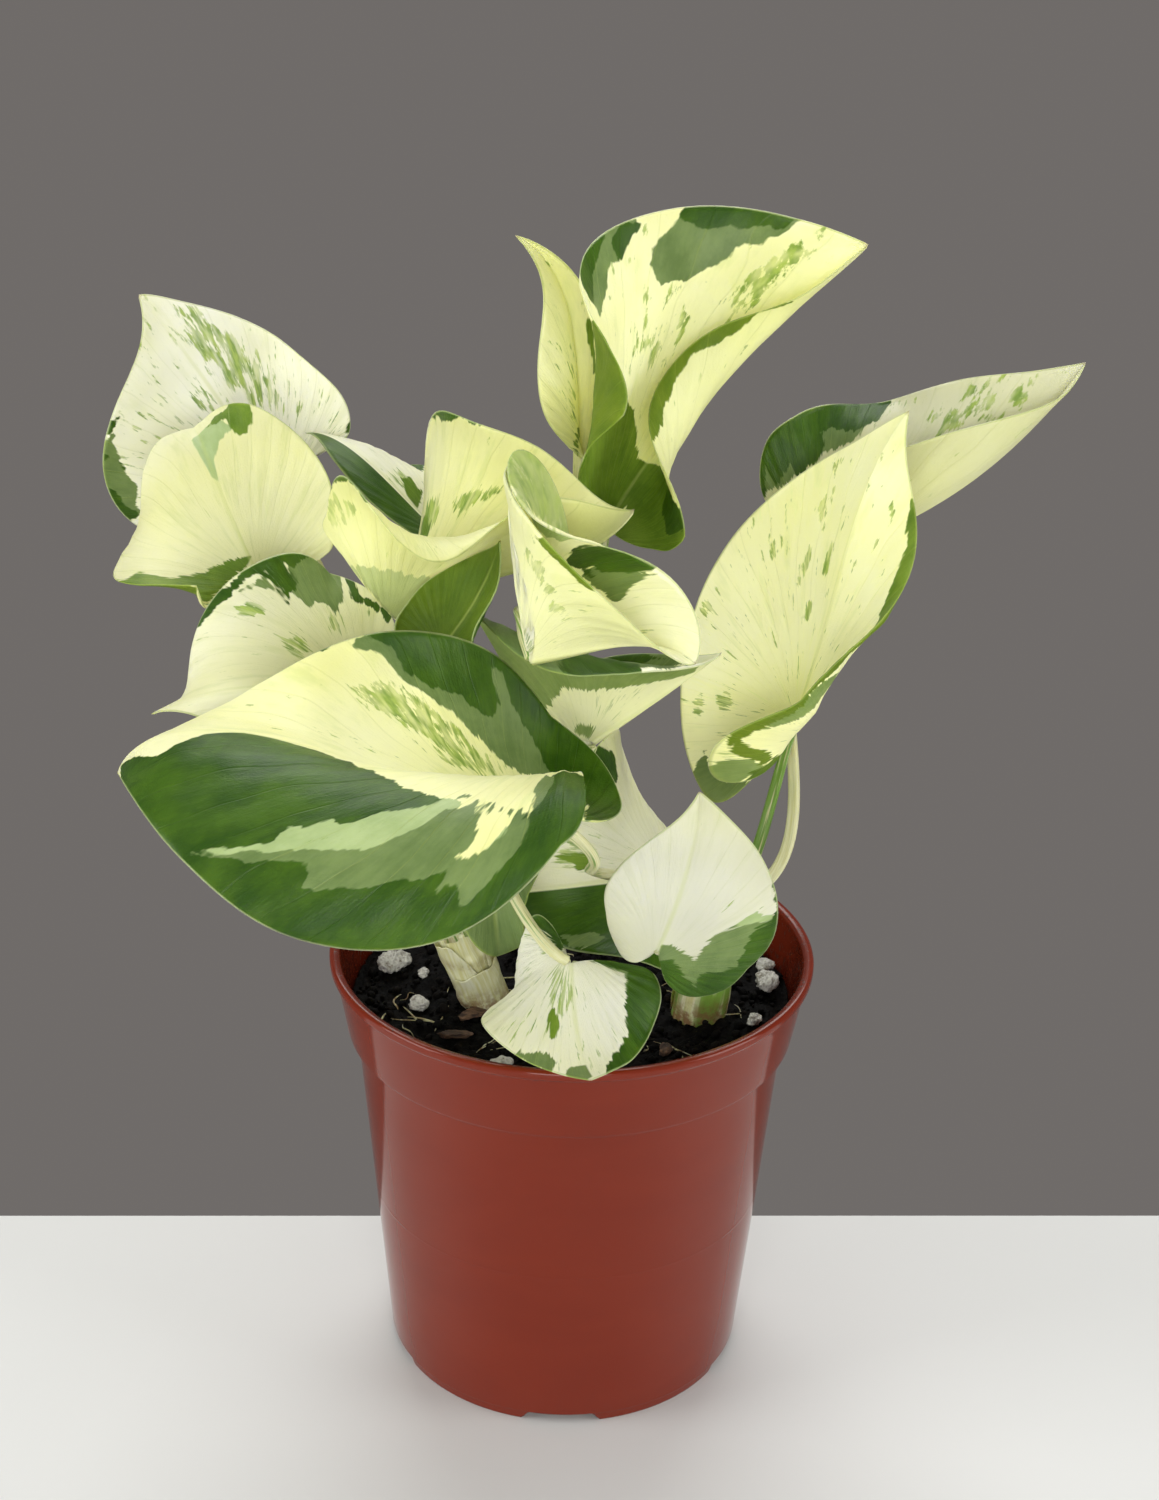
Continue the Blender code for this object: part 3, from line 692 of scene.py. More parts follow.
# The margin from the notch round the lobe to the tip: shares of the lobe or the length, and of the width.
MARGIN = (
    (0.0, 0.0), (-0.72, 0.22), (-1.0, 0.52), (-0.55, 0.84), (0.16, 1.0),
    (0.42, 0.90), (0.66, 0.62), (0.86, 0.25), (1.0, 0.0),
)
# Share of a blade's ribs that end in the notch, all from the joint itself.
NOTCH_SHARE = 0.34
# How far apart side veins are, how widely they fan, and how far behind the joint they start.
VEIN_PITCH = 6.2
VEIN_FAN = 45.0
VEIN_START = 3.0


def through_keys(keys: Array, count: int) -> Array:
    """Points along a smooth Catmull-Rom curve through the keys.

    Args:
        keys: Rows of x, y.
        count: How many points.

    Returns:
        Rows of x, y from the first key to the last.
    """
    padded = np.vstack([2 * keys[0] - keys[1], keys, 2 * keys[-1] - keys[-2]])
    s = np.linspace(0, len(keys) - 1, count)
    i = np.minimum(s.astype(int), len(keys) - 2)
    u = (s - i)[:, None]
    a, b, c, d = padded[i], padded[i + 1], padded[i + 2], padded[i + 3]
    return 0.5 * (2 * b + (c - a) * u + (2 * a - 5 * b + 4 * c - d) * u**2 + (3 * b - a - 3 * c + d) * u**3)


def inside_outline(x: Array, y: Array, outline: Array) -> Array:
    """Signed distance to a closed outline, positive inside.

    A point is inside where a level line from it crosses an odd number of sides.

    Args:
        x: First coordinate, of any shape.
        y: Second coordinate, of the same shape.
        outline: Rows of x, y.

    Returns:
        The distances, of the shape of x.
    """
    a, b = outline, np.roll(outline, -1, axis=0)
    side = b - a
    from_a = np.stack([x, y], -1)[..., None, :] - a
    share = np.clip((from_a * side).sum(-1) / np.maximum((side**2).sum(-1), 1e-9), 0, 1)
    away = np.linalg.norm(from_a - side * share[..., None], axis=-1).min(-1)
    above = (a[:, 1] > y[..., None]) != (b[:, 1] > y[..., None])
    slope = side[:, 0] / np.where(side[:, 1] == 0, 1e-9, side[:, 1])
    hit = above & (x[..., None] < a[:, 0] + (y[..., None] - a[:, 1]) * slope)
    return np.where(hit.sum(-1) % 2 == 1, away, -away)


@dataclass
class PothosLeaf(Blade):
    """One leaf: a thin closed blade with a keeled midrib, and the marbling laid on it as named values."""

    name: str
    warmth: float
    # Painted light and shade: brightness of the whole ground, below 1 for a leaf in shade, above 1 for a
    # well-lit leaf.
    tone: float = 1.0
    patches: tuple[Patch, ...] = ()
    flecks: tuple[Flecks, ...] = ()
    speckle: Pair = (0.0, 0.0)
    seed: int = 0
    rows: int = 97
    rails: int = 36
    thickness: float = 0.42
    keel: float = 0.60

    def numbers(self) -> tuple[dict[int, Array], dict[int, Array]]:
        """Point numbers of the upper and lower grids, with the foot, midrib, tip and margin shared.

        Returns:
            For each side, the upper grid's numbers; then the lower grid's.
        """
        count = self.rows * self.rails
        foot_rows = int(NOTCH_SHARE * (self.rows - 1)) + 1
        upper, lower = {}, {}
        for which, side in enumerate((1, -1)):
            grid = np.arange(count).reshape(self.rows, self.rails) + which * count
            grid[:, 0] = np.arange(count).reshape(self.rows, self.rails)[:, 0]
            grid[:foot_rows, 0] = 0
            grid[0] = 0
            grid[-1] = (self.rows - 1) * self.rails
            upper[side] = grid
            under = grid + 2 * count
            under[:, -1] = grid[:, -1]
            under[-1] = grid[-1]
            lower[side] = under
        return upper, lower

    def build(self) -> None:
        """Makes the leaf's mesh with its marbling values."""
        upper, lower = self.numbers()
        flat, middle, values = {}, [], {}
        for side in (1, -1):
            x, q, v = self.flat(side, self.rows, self.rails)
            flat[side] = (x, q, v)
            middle.append(self.in_world(self.bend(x, q, side)).reshape(-1, 3))
            for key, data in self.marbling(x, q, v, side).items():
                values.setdefault(key, []).append(data.reshape(x.size, *data.shape[2:]))
        middle = np.vstack(middle)
        values = {key: np.concatenate(parts) for key, parts in values.items()}
        faces = np.vstack([self.half_faces(upper[side], side) for side in (1, -1)])
        normal = self.point_normals(middle, faces)
        top, bottom = self.thicknesses(flat)
        both = np.vstack([middle + normal * top[:, None], middle - normal * bottom[:, None]])
        under = np.vstack([self.half_faces(lower[side], -side) for side in (1, -1)])
        doubled = {key: np.concatenate([data, data]) for key, data in values.items()}
        doubled["under"] = np.r_[np.zeros(len(middle)), np.ones(len(middle))]
        used, skin = np.unique(np.vstack([faces, under]), return_inverse=True)
        doubled = {key: data[used] for key, data in doubled.items()}
        leaf = make_mesh(self.name, both[used], skin.reshape(-1, 3), doubled)
        settle(leaf, "leaf_marbled", "leaf_blade", self.name)

    @staticmethod
    def half_faces(grid: Array, side: int) -> Array:
        """Triangles of one half, turned over for the right half."""
        quads = np.stack([grid[:-1, :-1], grid[1:, :-1], grid[1:, 1:], grid[:-1, 1:]], -1).reshape(-1, 4)
        made = as_triangles(quads)
        return made if side > 0 else made[:, ::-1]

    @staticmethod
    def point_normals(points: Array, faces: Array) -> Array:
        """Normals of the middle surface: the sum of the areas that meet at each point."""
        corner = points[faces]
        area = np.cross(corner[:, 1] - corner[:, 0], corner[:, 2] - corner[:, 0])
        normal = np.zeros_like(points)
        for k in range(3):
            np.add.at(normal, faces[:, k], area)
        length = np.linalg.norm(normal, axis=1)[:, None]
        return normal / np.maximum(length, 1e-12)

    def thicknesses(self, flat: dict[int, tuple]) -> tuple[Array, Array]:
        """How far the upper and lower skins stand off the middle surface.

        Both thin out in a quarter round at the margin.  The upper one has a groove over the midrib,
        the lower one a keel that fades towards the tip, and both follow the swells between veins.

        Args:
            flat: The flat grids of each side.

        Returns:
            Upper and lower distances in millimetres, the left half's points first.
        """
        tops, bottoms = [], []
        for side in (1, -1):
            x, q, v = flat[side]
            s = np.clip(x / self.length, 0, 1)
            rim = np.clip((1 - v) * np.maximum(q.max(axis=1), 1)[:, None] / 0.8, 0, 1)
            half = self.thickness / 2 * np.sqrt(rim * (2 - rim))
            groove = 0.22 * bell(q, 0, 0.9) * (1 - 0.7 * s)
            keel = self.keel * (1 - s) ** 0.8 * bell(q, 0, 1.1) * (x > -0.5)
            wave = self.swell(x, q, side) * smooth(0, 1, rim)
            tops.append((half - groove * smooth(0, 1, rim) + wave).ravel())
            bottoms.append((half + keel - wave).ravel())
        return np.concatenate(tops), np.concatenate(bottoms)

    def swell(self, x: Array, q: Array, side: int) -> Array:
        """Slow unevenness of the whole blade and shallow quilting between its side veins."""
        y = side * q
        slow = ripples(x, y, self.seed * 7 + 1, 26.0, 2) * 0.34 * np.clip(q / 9, 0, 1)
        quilt = np.cos(self.spread(x, q) * math.tau / VEIN_PITCH + self.seed) * 0.10 * smooth(2.0, 9.0, q)
        return slow + quilt

    def spread(self, x: Array, q: Array) -> Array:
        """Which side vein a point is on: the veins fan out from just behind the joint."""
        return VEIN_FAN * np.arctan2(q, x + VEIN_START)

    def marbling(self, x: Array, q: Array, v: Array, side: int) -> dict[str, Array]:
        """The values that the leaf's finish reads.

        Args:
            x: Distance along the midrib.
            q: Distance off it.
            v: Share of the rib.
            side: 1 for the left half, -1 for the right.

        Returns:
            Each tint's distance to its outlines, the flecks' density, the ground's warmth and tone (painted
            shade below 1 and painted light above 1), the distances from margin and midrib, and the flat and
            vein coordinates.
        """
        which = int(side < 0)
        widths = np.array(self.half_width)
        y = side * q
        made = {}
        for tint in Tint:
            inside = np.full(x.shape, -20.0)
            for patch in sorted((p for p in self.patches if p.tint is tint), key=lambda p: not p.kept):
                outline = np.reshape(patch.outline, (-1, 2)) / 100
                outline[:, 0] *= self.length
                outline[:, 1] *= np.where(outline[:, 1] > 0, widths[0], widths[1])
                field_of = inside_outline(x, y, outline)
                inside = np.maximum(inside, field_of) if patch.kept else np.minimum(inside, -field_of)
            made[tint.value] = inside
        density = np.full(x.shape, self.speckle[which])
        for cloud in self.flecks:
            away = np.hypot(
                (x / self.length * 100 - cloud.along) / cloud.reach_along,
                (y / widths[which] * 100 - cloud.across) / cloud.reach_across,
            )
            density = np.maximum(density, cloud.density / 100 * (1 - smooth(0.35, 1.15, away)))
        made["fleck"] = density
        made["warmth"] = self.warmth + 0.12 * ripples(x, y, self.seed + 50, 40.0, 1)
        # Painted light and shade: the leaf's tone, with a slight random unevenness.
        made["tone"] = self.tone * (1 + 0.06 * ripples(x, y, self.seed + 60, 30.0, 2))
        made["from_margin"] = (1 - v) * np.maximum(q.max(axis=1), 1)[:, None]
        made["from_midrib"] = q
        made["along_share"] = x / self.length
        offset = 40.0 * self.seed
        radius = np.hypot(x + VEIN_START, q)
        made["vein"] = np.stack([side * self.spread(x, q) + offset, radius, np.full(x.shape, offset)], -1)
        made["flat"] = np.stack([x, y, np.full(x.shape, offset)], -1)
        return made


class LeafFinish:
    """The marbled leaf: hazy cream ground, torn tints over it, strokes along the veins, olive beneath."""

    WHITE: Colour = (0.93, 0.93, 0.76)
    CREAM: Colour = (0.86, 0.86, 0.35)
    UNDER_GROUND: Colour = (0.74, 0.75, 0.33)
    HAZE: Colour = (0.50, 0.60, 0.20)
    STROKES: tuple[Colour, Colour] = ((0.13, 0.25, 0.020), (0.34, 0.46, 0.08))
    TOP: dict[Tint, tuple[Colour, Colour]] = {
        PALE: ((0.32, 0.42, 0.18), (0.42, 0.52, 0.25)),
        SAGE: ((0.115, 0.180, 0.055), (0.185, 0.260, 0.090)),
        FERN: ((0.09, 0.17, 0.012), (0.18, 0.28, 0.030)),
        DARK: ((0.020, 0.066, 0.002), (0.052, 0.122, 0.006)),
    }
    UNDER: dict[Tint, tuple[Colour, Colour]] = {
        PALE: ((0.40, 0.46, 0.20), (0.48, 0.54, 0.24)),
        SAGE: ((0.17, 0.25, 0.06), (0.25, 0.33, 0.10)),
        FERN: ((0.10, 0.17, 0.006), (0.15, 0.22, 0.012)),
        DARK: ((0.065, 0.125, 0.004), (0.110, 0.180, 0.010)),
    }
    TEAR: dict[Tint, float] = {PALE: 3.2, SAGE: 3.2, FERN: 3.0, DARK: 3.0}

    def __init__(self) -> None:
        """Builds the material."""
        self.kit, shader = new_material("leaf_marbled")
        kit = self.kit
        self.vein = kit.vector("vein")
        self.flat = kit.vector("flat")
        self.under = kit.number("under")
        colour = self.with_strokes(self.with_tints(self.ground(), PALE))
        colour = self.with_edges(self.with_tints(colour, SAGE, FERN, DARK))
        uneven = kit.group("grain", vector=kit.scaled(self.flat, (0.9, 0.9, 1.0)), coarse=0.6)
        kit.dress(
            shader,
            specular=0.2,
            base_color=colour,
            roughness=kit.linear(uneven.outputs[0], 0.22, kit.linear(self.under, 0.14, 0.40)),
            normal=kit.bump(self.relief(), 0.5, 0.0004),
            subsurface_weight=0.5,
            subsurface_radius=(1.0, 1.0, 0.6),
            subsurface_scale=0.0016,
        )

    def ground(self) -> Socket:
        """White to cream with a faint green haze along the veins, duller beneath, times the leaf's tone:
        painted shade on leaves lit less and painted light on leaves lit more.
        """
        kit = self.kit
        cloud = kit.noise(self.flat, (0.045, 0.045, 1.0), 2.0, 0.5)
        warm = kit.plus(kit.number("warmth"), kit.linear(cloud, 0.5, -0.25), clamp=True)
        haze = kit.step(kit.noise(self.vein, (0.30, 0.07, 1.0), 3.0, 0.6), 0.48, 0.72)
        top = kit.mix(warm, self.WHITE, self.CREAM)
        haze = kit.times(haze, kit.linear(warm, 0.25, 0.10))
        top = kit.mix(haze, top, self.HAZE)
        plain = kit.mix(kit.times(self.under, 0.6), top, self.UNDER_GROUND)
        # Painted light and shade: the tone darkens the ground of shaded leaves and brightens that of well-lit
        # ones.
        return kit.mix(1.0, plain, kit.number("tone"), "MULTIPLY")

    def with_strokes(self, colour: Socket) -> Socket:
        """Green strokes along the veins, fainter beneath."""
        kit = self.kit
        mask = kit.group("flecks", density=kit.number("fleck"), along_vein=self.vein, sharp=0.8)
        patchy = kit.noise(self.vein, (0.5, 0.12, 1.0), 2.0, 0.6)
        patchy = kit.linear(kit.step(patchy, 0.35, 0.6), 0.55, 0.45)
        share = kit.times(mask.outputs[0], patchy)
        share = kit.times(share, kit.linear(self.under, -0.3, 0.9))
        tone = kit.noise(self.vein, (0.6, 0.2, 1.0), 2.0, 0.6)
        return kit.mix(share, colour, kit.mix(kit.step(tone, 0.35, 0.65), *self.STROKES))

    def with_tints(self, colour: Socket, *tints: Tint) -> Socket:
        """These tints, each over the last, mottled along the veins."""
        kit = self.kit
        mottle = kit.noise(self.vein, (0.55, 0.12, 1.0), 3.0, 0.6)
        blotch = kit.noise(self.flat, (0.10, 0.10, 1.0), 4.0, 0.6)
        share = kit.step(kit.linear(mottle, 0.3, kit.times(blotch, 0.7)), 0.34, 0.66)
        calm = kit.step(kit.number("from_midrib"), 0.2, 4.0)
        for tint in tints:
            mask = kit.group(
                "torn edge",
                field=kit.number(tint.value),
                along_vein=self.vein,
                tear=kit.times(calm, self.TEAR[tint]),
                soft=0.22,
            )
            top = kit.mix(share, *self.TOP[tint])
            under = kit.mix(share, *self.UNDER[tint])
            colour = kit.mix(mask.outputs[0], colour, kit.mix(self.under, top, under))
            if tint is DARK:
                self.dark_mask = mask.outputs[0]
        return colour

    def with_edges(self, colour: Socket) -> Socket:
        """The midrib and side veins a little paler, a thin pale margin, and a touch of brown at the tip."""
        kit = self.kit
        rib = kit.rest_of(kit.step(kit.number("from_midrib"), 0.15, 0.75))
        rib = kit.times(rib, kit.step(kit.number("along_share"), 1.0, 0.4))
        colour = kit.mix(kit.times(rib, 0.3), colour, (0.50, 0.56, 0.17))
        bare = kit.rest_of(self.dark_mask)
        line = kit.times(self.side_veins(), kit.times(bare, 0.13))
        colour = kit.mix(line, colour, (0.40, 0.47, 0.10))
        rim = kit.rest_of(kit.step(kit.number("from_margin"), 0.12, 0.42))
        pale = kit.mix(self.dark_mask, (0.26, 0.33, 0.08), (0.42, 0.50, 0.24))
        colour = kit.mix(kit.times(rim, 0.55), colour, pale)
        tip = kit.step(kit.number("along_share"), 0.975, 1.0)
        return kit.mix(kit.times(tip, 0.7), colour, (0.16, 0.09, 0.03))

    def side_veins(self) -> Socket:
        """Thin lines fanning from the joint: peaks of a regular wave across the veins."""
        kit = self.kit
        wander = kit.noise(self.flat, (0.05, 0.05, 1.0), 1.0, 0.5)
        place = kit.linear(wander, 5.0, kit.split(self.vein)[0])
        wave = kit.math("PINGPONG", place, VEIN_PITCH / 2)
        line = kit.rest_of(kit.step(wave, 0.0, 0.22))
        return kit.times(line, kit.step(kit.number("from_midrib"), 1.0, 4.0))

    def relief(self) -> Socket:
        """Height: side veins, fine strokes between them and a pebbled skin."""
        kit = self.kit
        fine = kit.noise(self.vein, (1.6, 0.4, 1.0), 2.0, 0.5)
        skin = kit.noise(self.flat, (2.2, 2.2, 1.0), 2.0, 0.5)
        height = kit.linear(skin, 0.25, kit.times(fine, 0.5))
        return kit.minus(height, kit.times(self.side_veins(), 0.35))


LEAVES = (
    PothosLeaf(
        name="leaf_back_left",
        base=(-69.0, 54.5, 184.0), heading=143, pitch=43, roll=-52, length=52.0,
        half_width=(34.0, 24.0), lobe=(10.0, 0.5), arch=1, droop=-65, sway=0, twist=42,
        fold=((-13, 22), (-23, -12)), curl=((-72, -13, -52), (12, 88, -7)), lobe_lift=(41, 1),
        patches=(
            Patch(DARK, (60, 62, 60, 82, 48, 98, 23, 114, 24, 92, 36, 90, 43, 99, 47, 81, 54, 89, 56, 71)),
            Patch(SAGE, (55, 70, 52, 74, 30, 78, 23, 95, 28, 110, 38, 107, 53, 92)),
            Patch(DARK, (44, 77, 42, 75, 37, 76, 39, 78)),
            Patch(DARK, (7, -109, 4, -106, 0, -99, 0, -78)),
        ),
        flecks=(
            Flecks(72, -22, 16, 20, 90), Flecks(60, -30, 16, 26, 100), Flecks(48, -34, 16, 26, 100),
            Flecks(34, -38, 14, 22, 90), Flecks(45, 8, 10, 10, 80),
        ),
        warmth=0.2, speckle=(0.36, 0.34), seed=1,
    ),
    PothosLeaf(
        name="leaf_upper_left",
        base=(-68.0, 14.0, 177.5), heading=139, pitch=50, roll=-29, length=50.5,
        half_width=(27.5, 23.5), lobe=(3.5, 3.5), arch=12, droop=110, sway=-19, twist=-13,
        fold=((-9, 14), (-36, 24)), curl=((120, -84, -21), (116, 35, 45)), lobe_lift=(-26, -27),
        patches=(
            Patch(FERN, (16, 114, 17, 81, 10, 66, 8, 41, 9, 16, 7, -3, 4, 4, -5, 55, -4, 77, 8, 111)),
            Patch(FERN, (72, -9, 77, -22, 79, -47, 74, -58, 62, -49, 62, -44, 59, -43, 60, -35, 72, -26)),
            Patch(PALE, (68, 7, 73, -9, 74, -22, 68, -30, 64, -29, 61, -18, 53, -5, 42, -2, 45, 2)),
            Patch(FERN, (23, 114, 16, 96, 9, 110, 3, 8, 2, 80, 15, 114)),
        ),
        warmth=0.7, tone=0.82, speckle=(0.05, 0.05), seed=2,
    ),
    PothosLeaf(
        name="leaf_mid_left",
        base=(-48.5, -9.0, 160.0), heading=-142, pitch=22, roll=-44, length=43.5,
        half_width=(20.0, 29.0), lobe=(3.0, 11.5), arch=9, droop=70, sway=10, twist=56,
        fold=((8, 8), (32, -26)), curl=((29, -118, 15), (-50, 43, -22)), lobe_lift=(9, -12),
        patches=(
            Patch(DARK, (84, -36, 62, -80, 54, -88, 46, -82, 39, -103, 23, -114, 12, -113, -10, -102,
                -11, -77, -19, -70, -27, -72, -22, -57, -18, -66, -5, -71, -5, -105, 4, -109, 21, -90,
                25, -92, 20, -78, 24, -64, 34, -88, 59, -66, 68, -69)),
            Patch(SAGE, (43, -77, 34, -84, 30, -74, 37, -77)),
            Patch(SAGE, (24, -90, 4, -110, -7, -103, 2, -54, 7, -64, 11, -66, 14, -61, 23, -70)),
        ),
        flecks=(Flecks(40, -62, 9, 9, 100), Flecks(23, -31, 9, 12, 100), Flecks(4, -49, 6, 10, 80)),
        warmth=0.5, tone=0.86, speckle=(0.1, 0.2), seed=3,
    ),
    PothosLeaf(
        name="leaf_front_left",
        base=(-5.5, -63.0, 160.0), heading=-179, pitch=11, roll=-16, length=91.0,
        half_width=(55.0, 41.5), lobe=(3.5, 16.0), arch=-27, droop=110, sway=-15, twist=-13,
        fold=((92, -7), (-45, -28)), curl=((-130, -108, 40), (77, 82, -76)), lobe_lift=(-9, -5),
        patches=(
            Patch(DARK, (52, -93, 33, -110, 24, -114, 14, -114, 4, -110, -10, -97, -15, -88, -19, -74,
                -20, -57, -18, -37, -9, -13, -10, -45, -1, -62, 2, -71, 15, -94, 18, -95, 13, -79, 14, -73,
                16, -71, 23, -74, 26, -72, 36, -74, 41, -83, 46, -82)),
            Patch(DARK, (62, -80, 58, -85, 54, -74, 57, -71)),
            Patch(SAGE, (50, -78, 45, -98, 23, -92, 12, -111, -4, -66, -10, -45, -9, -15, 2, -55, 5, -49,
                22, -64, 36, -69, 44, -78)),
            Patch(DARK, (7, 68, 45, 10, 57, 0, 64, 0, 72, 4, 80, 14, 97, 1, 87, 29, 72, 62, 62, 80, 48, 97,
                35, 109, 26, 113, 15, 114, 6, 109, 2, 102, 0, 80, -5, 77, -4, 53, -2, 44, 0, 42, 4, 63)),
            Patch(DARK, (65, 61, 49, 58, 48, 51, 46, 53, 41, 50, 39, 52, 36, 51, 33, 47, 23, 46, 18, 48,
                6, 70, 7, 77, 11, 86, 15, 90, 17, 80, 20, 83, 21, 82, 18, 75, 39, 75, 42, 73, 41, 70, 43, 65,
                45, 66, 49, 64, 53, 65, 53, 67, 54, 64), kept=False),
            Patch(SAGE, (65, 61, 55, 57, 48, 47, 34, 41, 18, 43, 6, 69, 5, 81, 10, 92, 16, 92, 22, 85,
                42, 78)),
            Patch(SAGE, (67, 68, 55, 56, 48, 46, 34, 40, 22, 41, 16, 50, 22, 50, 24, 54, 34, 62, 54, 61,
                62, 63), kept=False),
            Patch(SAGE, (16, 51, 8, 66, 12, 73, 18, 73, 18, 71, 15, 71), kept=False),
            Patch(PALE, (65, 61, 55, 57, 48, 47, 34, 41, 22, 43, 18, 49, 25, 61, 32, 68, 54, 65, 65, 72)),
            Patch(SAGE, (3, 67, 4, 76, 6, 80, 13, 83, 12, 75, 10, 71)),
            Patch(SAGE, (6, 68, 5, 60, 6, 50, 4, 38, 0, 52, -1, 69, 2, 76)),
            Patch(DARK, (3, 77, 1, 72, 3, 40, 0, 42, -4, 52, -5, 77, -1, 97)),
            Patch(PALE, (8, 66, 6, 70, 12, 79, 16, 77)),
        ),
        flecks=(
            Flecks(38, -58, 12, 12, 100), Flecks(28, -53, 12, 13, 100), Flecks(18, -45, 12, 13, 100),
            Flecks(8, -36, 7, 10, 80), Flecks(43, -25, 12, 10, 50), Flecks(68, -35, 3, 5, 80),
        ),
        warmth=0.75, speckle=(0, 0.1), seed=4,
    ),
    PothosLeaf(
        name="leaf_dark_curl",
        base=(-33.0, 52.5, 174.0), heading=226, pitch=45, roll=-75, length=40.5,
        half_width=(12.5, 21.0), lobe=(3.0, 11.0), arch=67, droop=32, sway=-54, twist=2,
        fold=((43, -6), (-2, -17)), curl=((30, -13, -19), (-63, -62, 16)), lobe_lift=(-34, 12),
        patches=(
            Patch(DARK, (-6, 7, 101, 5, 82, 56, 44, 110, 16, 119, -11, 83)),
            Patch(FERN, (17, -2, 27, -4, 36, -17, 29, -30, 22, -22, 18, -26)),
            Patch(DARK, (-11, -99, 0, -91, 13, -70, 44, -73, 57, -67, 52, -88, 27, -109, 0, -115)),
        ),
        flecks=(Flecks(30, -18, 20, 15, 95),),
        warmth=0.3, speckle=(0, 0.2), seed=5,
    ),
    PothosLeaf(
        name="leaf_centre_wave",
        base=(-37.5, -1, 173.5), heading=14, pitch=32, roll=-59, length=59.0, half_width=(40.0, 35.5),
        lobe=(-5.5, 1.5), arch=83, droop=-90, sway=-29, twist=4, fold=((73, 82), (-5, 89)),
        curl=((-130, 100, -58), (133, -130, -91)), lobe_lift=(0, 6),
        patches=(
            Patch(DARK, (26, 100, 29, 94, 36, 88, 42, 89, 51, 82, 48, 93)),
            Patch(FERN, (14, 70, 17, 66, 18, 54, 16, 45, 13, 54)),
            Patch(PALE, (-1, -2, 14, -10, 19, -17, 6, -38, -2, -46)),
            Patch(DARK, (3, -90, 14, -98, 26, -100, 23, -105, 4, -102)),
        ),
        flecks=(
            Flecks(30, 47, 5, 6, 100), Flecks(37, 46, 5, 8, 100), Flecks(44, 46, 4, 6, 90),
            Flecks(18, 60, 7, 14, 95), Flecks(4, -79, 8, 12, 90),
        ),
        warmth=0.8, tone=0.92, speckle=(0.1, 0.1), seed=6,
    ),
    PothosLeaf(
        name="leaf_centre_under",
        base=(-25.5, -17.5, 176.0), heading=25, pitch=50, roll=178, length=23.5,
        half_width=(14.0, 14.5), lobe=(4.0, 7.5), arch=28, droop=8, sway=16, twist=-4,
        fold=((-1, 6), (-14, 3)), curl=((-10, -38, 8), (-33, -16, -4)), lobe_lift=(0, -21),
        patches=(Patch(DARK, (-90, -140, 130, -140, 130, 140, -90, 140)),),
        warmth=0.5, seed=7,
    ),
    PothosLeaf(
        name="leaf_centre_right",
        base=(-9.0, -40.5, 181.5), heading=-20, pitch=18, roll=16, length=34.5,
        half_width=(40.0, 39.5), lobe=(2.5, -6.0), arch=-20, droop=87, sway=1, twist=24,
        fold=((61, 47), (95, 38)), curl=((-130, 82, 39), (81, 50, 49)), lobe_lift=(-1, 0),
        patches=(
            Patch(PALE, (0, 84, 3, 94, 16, 104, 34, 94, 55, 73, 48, 65, 37, 62, 30, 76, 17, 68, 9, 72)),
            Patch(DARK, (44, 47, 52, 58, 63, 66, 74, 62, 79, 47, 67, 41, 55, 44, 51, 38)),
            Patch(SAGE, (48, 39, 55, 48, 67, 45, 76, 46, 59, 21)),
            Patch(FERN, (45, -80, 62, -64, 61, -75, 51, -84)),
        ),
        flecks=(
            Flecks(35, -58, 10, 11, 100), Flecks(38, -48, 8, 8, 100), Flecks(37, -32, 9, 9, 90),
            Flecks(2, -12, 6, 10, 90), Flecks(25, 85, 35, 30, 100),
        ),
        warmth=0.5, tone=1.06, speckle=(0.15, 0.2), seed=8,
    ),
    PothosLeaf(
        name="leaf_centre_boat",
        base=(3.5, -16.0, 153.5), heading=-4, pitch=39, roll=-50, length=33.0,
        half_width=(17.0, 45.5), lobe=(14.5, 12.0), arch=-3, droop=3, sway=-2, twist=60,
        fold=((73, 1), (95, 20)), curl=((41, 19, -43), (-130, -98, 1)), lobe_lift=(0, 60),
        patches=(
            Patch(SAGE, (-50, -22, -20, -27, 0, -30, 20, -20, 40, -14, 80, -2, 90, -10, 60, -75, 30, -120,
                -50, -120)),
            Patch(SAGE, (-9, -11, -2, -12, 6, -6, -2, -3)),
            Patch(DARK, (42, -50, 68, -42, 75, -60, 60, -85, 40, -90)),
            Patch(DARK, (20, 120, 27, 90, 42, 70, 60, 60, 45, 95, 30, 120)),
            Patch(SAGE, (15, 120, 25, 75, 46, 55, 83, 20, 70, 60, 40, 110)),
        ),
        flecks=(Flecks(30, -10, 30, 10, 50),),
        warmth=0.25, speckle=(0.15, 0.15), seed=9,
    ),
    PothosLeaf(
        name="leaf_narrow_top",
        base=(-1.5, 32.0, 193.5), heading=272, pitch=118, roll=-93, length=58.5,
        half_width=(14.0, 9.0), lobe=(4.0, 4.0), arch=-2, droop=56, sway=60, twist=-37,
        fold=((25, 21), (88, 44)), curl=((-14, -124, -21), (130, 106, -13)), lobe_lift=(0, 0),
        patches=(
            Patch(FERN, (5, 101, 8, 98, 19, 31, 17, 25)),
            Patch(FERN, (38, -48, 57, -38, 59, -56, 40, -68)),
        ),
        flecks=(Flecks(30, 30, 40, 50, 50),),
        warmth=0.8, speckle=(0.25, 0.2), seed=10,
    ),
    PothosLeaf(
        name="leaf_crown",
        base=(5.0, 17.5, 188.0), heading=61, pitch=34, roll=42, length=91.0, half_width=(52.0, 22.5),
        lobe=(3.5, 2.5), arch=-76, droop=-27, sway=-26, twist=-18, fold=((34, 27), (26, 79)),
        curl=((80, 11, -125), (49, 165, -72)), lobe_lift=(-10, -29),
        patches=(
